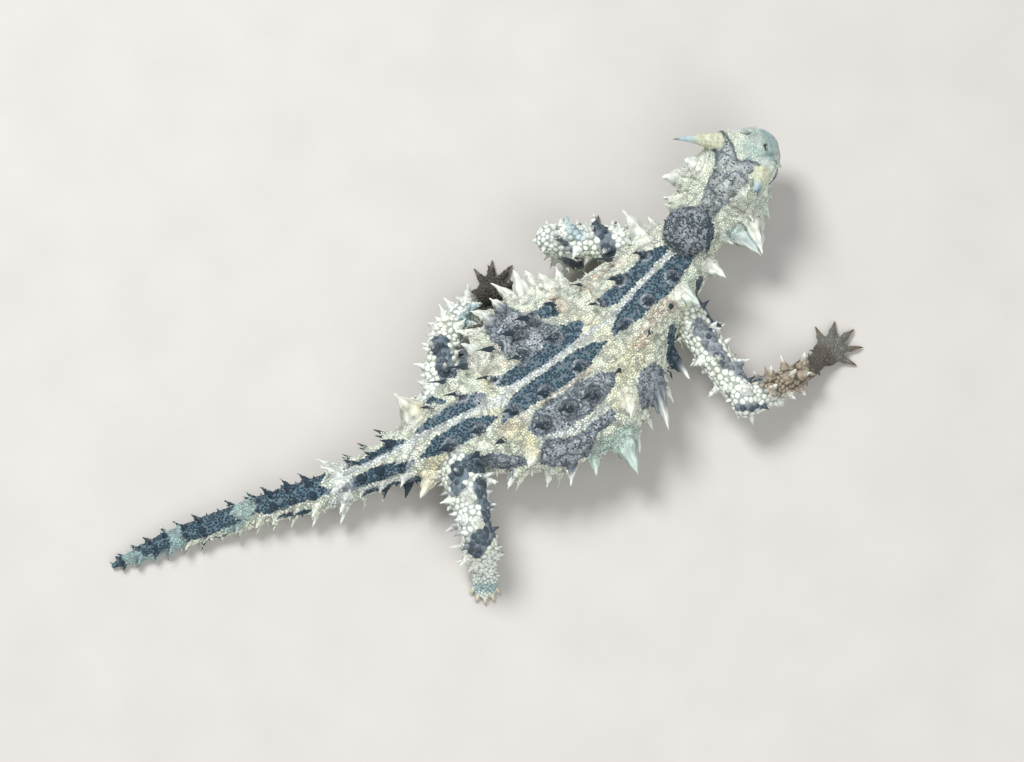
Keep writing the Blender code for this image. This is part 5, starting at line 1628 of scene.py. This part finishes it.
def scale_places(points, triangles, hat_points, hat_triangles, bvh, rng):
    """Roots, normals and spacings of the scales, and which of them are studs and which are on limbs."""
    hat_bvh = surface_tree(hat_points, hat_triangles)
    away = np.array([bvh.find_nearest(Vector(point))[3] for point in hat_points])
    on_skin = scale_spacing(points[triangles].mean(1))
    far = away[hat_triangles].max(1)
    closer = np.where(far < SCALED_HAT, 0.92 - 0.12 * far, 0.0)
    on_hats = scale_spacing(hat_points[hat_triangles].mean(1)) * closer
    found = [random_places(points, triangles, on_skin, CROWD, rng),
             random_places(hat_points, hat_triangles, on_hats, CROWD, rng)]
    roots, normals, spacing = (np.concatenate(values) for values in zip(*found))
    order = rng.permutation(len(roots))
    limb = ~places_of(roots).torso
    studs = stud_places(roots, order, len(found[0][0]), limb)
    is_stud = np.zeros(len(roots), bool)
    is_stud[studs] = True
    order = np.concatenate([studs, order[~is_stud[order]]])
    spacing = np.where(is_stud, spacing * 1.15, spacing)
    kept = thin_out(roots, spacing, order)
    made = [values[kept] for values in (roots, normals, spacing, is_stud, limb)]
    roots, normals = made[:2]
    open_air = np.array([
        hat_bvh.ray_cast(Vector(root + normal * 0.06), Vector(normal), 1.2)[0] is None
        for root, normal in zip(roots, normals)
    ])
    length, _, girth, _ = body_place(roots)
    keep = open_air & (roots[:, 2] > 0.08) & (nostril_gap(length, girth) > 0.08)
    for side in SIDES:
        keep &= norms(roots - head_point(side, EYE_PLACE)) > EYE_RADIUS + 0.3
    return [values[keep] for values in made]


def make_scales(roots, normals, spacing, is_stud, limb, hide, shift, rng):
    """Scales on the body, plates on the limbs, and studs on both."""
    marks = vary(marks_at(roots), roots, rng)
    around = neighbours_of(roots)
    radii = spacing * rng.uniform(0.74, 0.86, len(roots))
    radii[limb] *= 1.15
    heights = radii * rng.uniform(0.3, 0.5, len(roots))
    heights[limb] *= 0.5
    radii[is_stud] *= 1.25
    heights[is_stud] = radii[is_stud] * rng.uniform(1.1, 1.8, is_stud.sum())
    marks[is_stud, BRIGHT] = np.maximum(marks[is_stud, BRIGHT], 0.5)
    kinds = (("scales", ~is_stud & ~limb, SCALE_RINGS), ("plates", ~is_stud & limb, PLATE_RINGS),
             ("studs", is_stud, STUD_RINGS))
    for name, chosen, rings in kinds:
        values = (array[chosen] for array in (roots, normals, radii, heights, marks, around))
        place_scales(name, *values, rings, hide, shift, rng)


def make_hide(frame, hide, shift):
    """The skin with its thorns and scales."""
    rng = np.random.default_rng(SEED)
    thorns = thorn_list(rng)
    skin = fused_skin()
    points, crease = shape_skin(skin, thorns)
    triangles = triangles_of(skin)
    bvh = surface_tree(points, triangles)
    # The skin between the limbs' plates takes at least 0.3 of the crease tone, which darkens the cracks
    # between them
    crease = np.where(places_of(points).torso, crease, np.maximum(crease, 0.3))
    set_looks(skin, marks_at(points), np.stack([crease * 0, crease, np.full(len(points), 0.5)], 1))

    hat_points, hat_polygons, hat_marks, hat_roots, hat_flats = hats(thorns, bvh)
    thorn_obj = mesh_object("thorns", hat_points, hat_polygons)
    set_looks(thorn_obj, hat_marks, np.tile((1.0, 0.0, 0.55), (len(hat_points), 1)))
    add_bake_map(thorn_obj, unwrap(hat_roots) + hat_flats)
    places = scale_places(points, triangles, hat_points, triangles_of(thorn_obj), bvh, rng)
    make_scales(*places, hide, shift, rng)
    place(thorn_obj, hide, "skin", shift)
    flesh = [name for name in frame["nodes"] if not name.startswith(("eye", "brow_horn"))]
    place(skin, hide, "skin", shift, *flesh)


def main():
    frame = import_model()
    eye_low, eye_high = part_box("eye_left")
    shift = (eye_low + eye_high) / 2 - Vector(head_point(1, EYE_PLACE)) * MM
    shift.z = 0.0
    make_camera(shift)
    make_stage(shift)
    hide = hide_material()
    make_hide(frame, hide, shift)
    horn, eye = horn_material(), eye_material()
    for side, name in SIDES.items():
        place(horn_mesh(side), horn, "horn", shift, "brow_horn_" + name)
        place(eye_mesh(side), eye, "eye", shift, "eye_" + name)
        lids = lid_mesh(side)
        points = points_of(lids)
        set_looks(lids, marks_at(points), np.tile((0.8, 0.0, 0.5), (len(points), 1)))
        place(lids, hide, "skin", shift)
    claws = {name: claw_material(name) for name in CLAW_LOOKS}
    for name in LIMBS:
        claw = claws["claw_pale" if name == "hind_right" else "claw"]
        place(claw_meshes(name), claw, "horn", shift)


main()
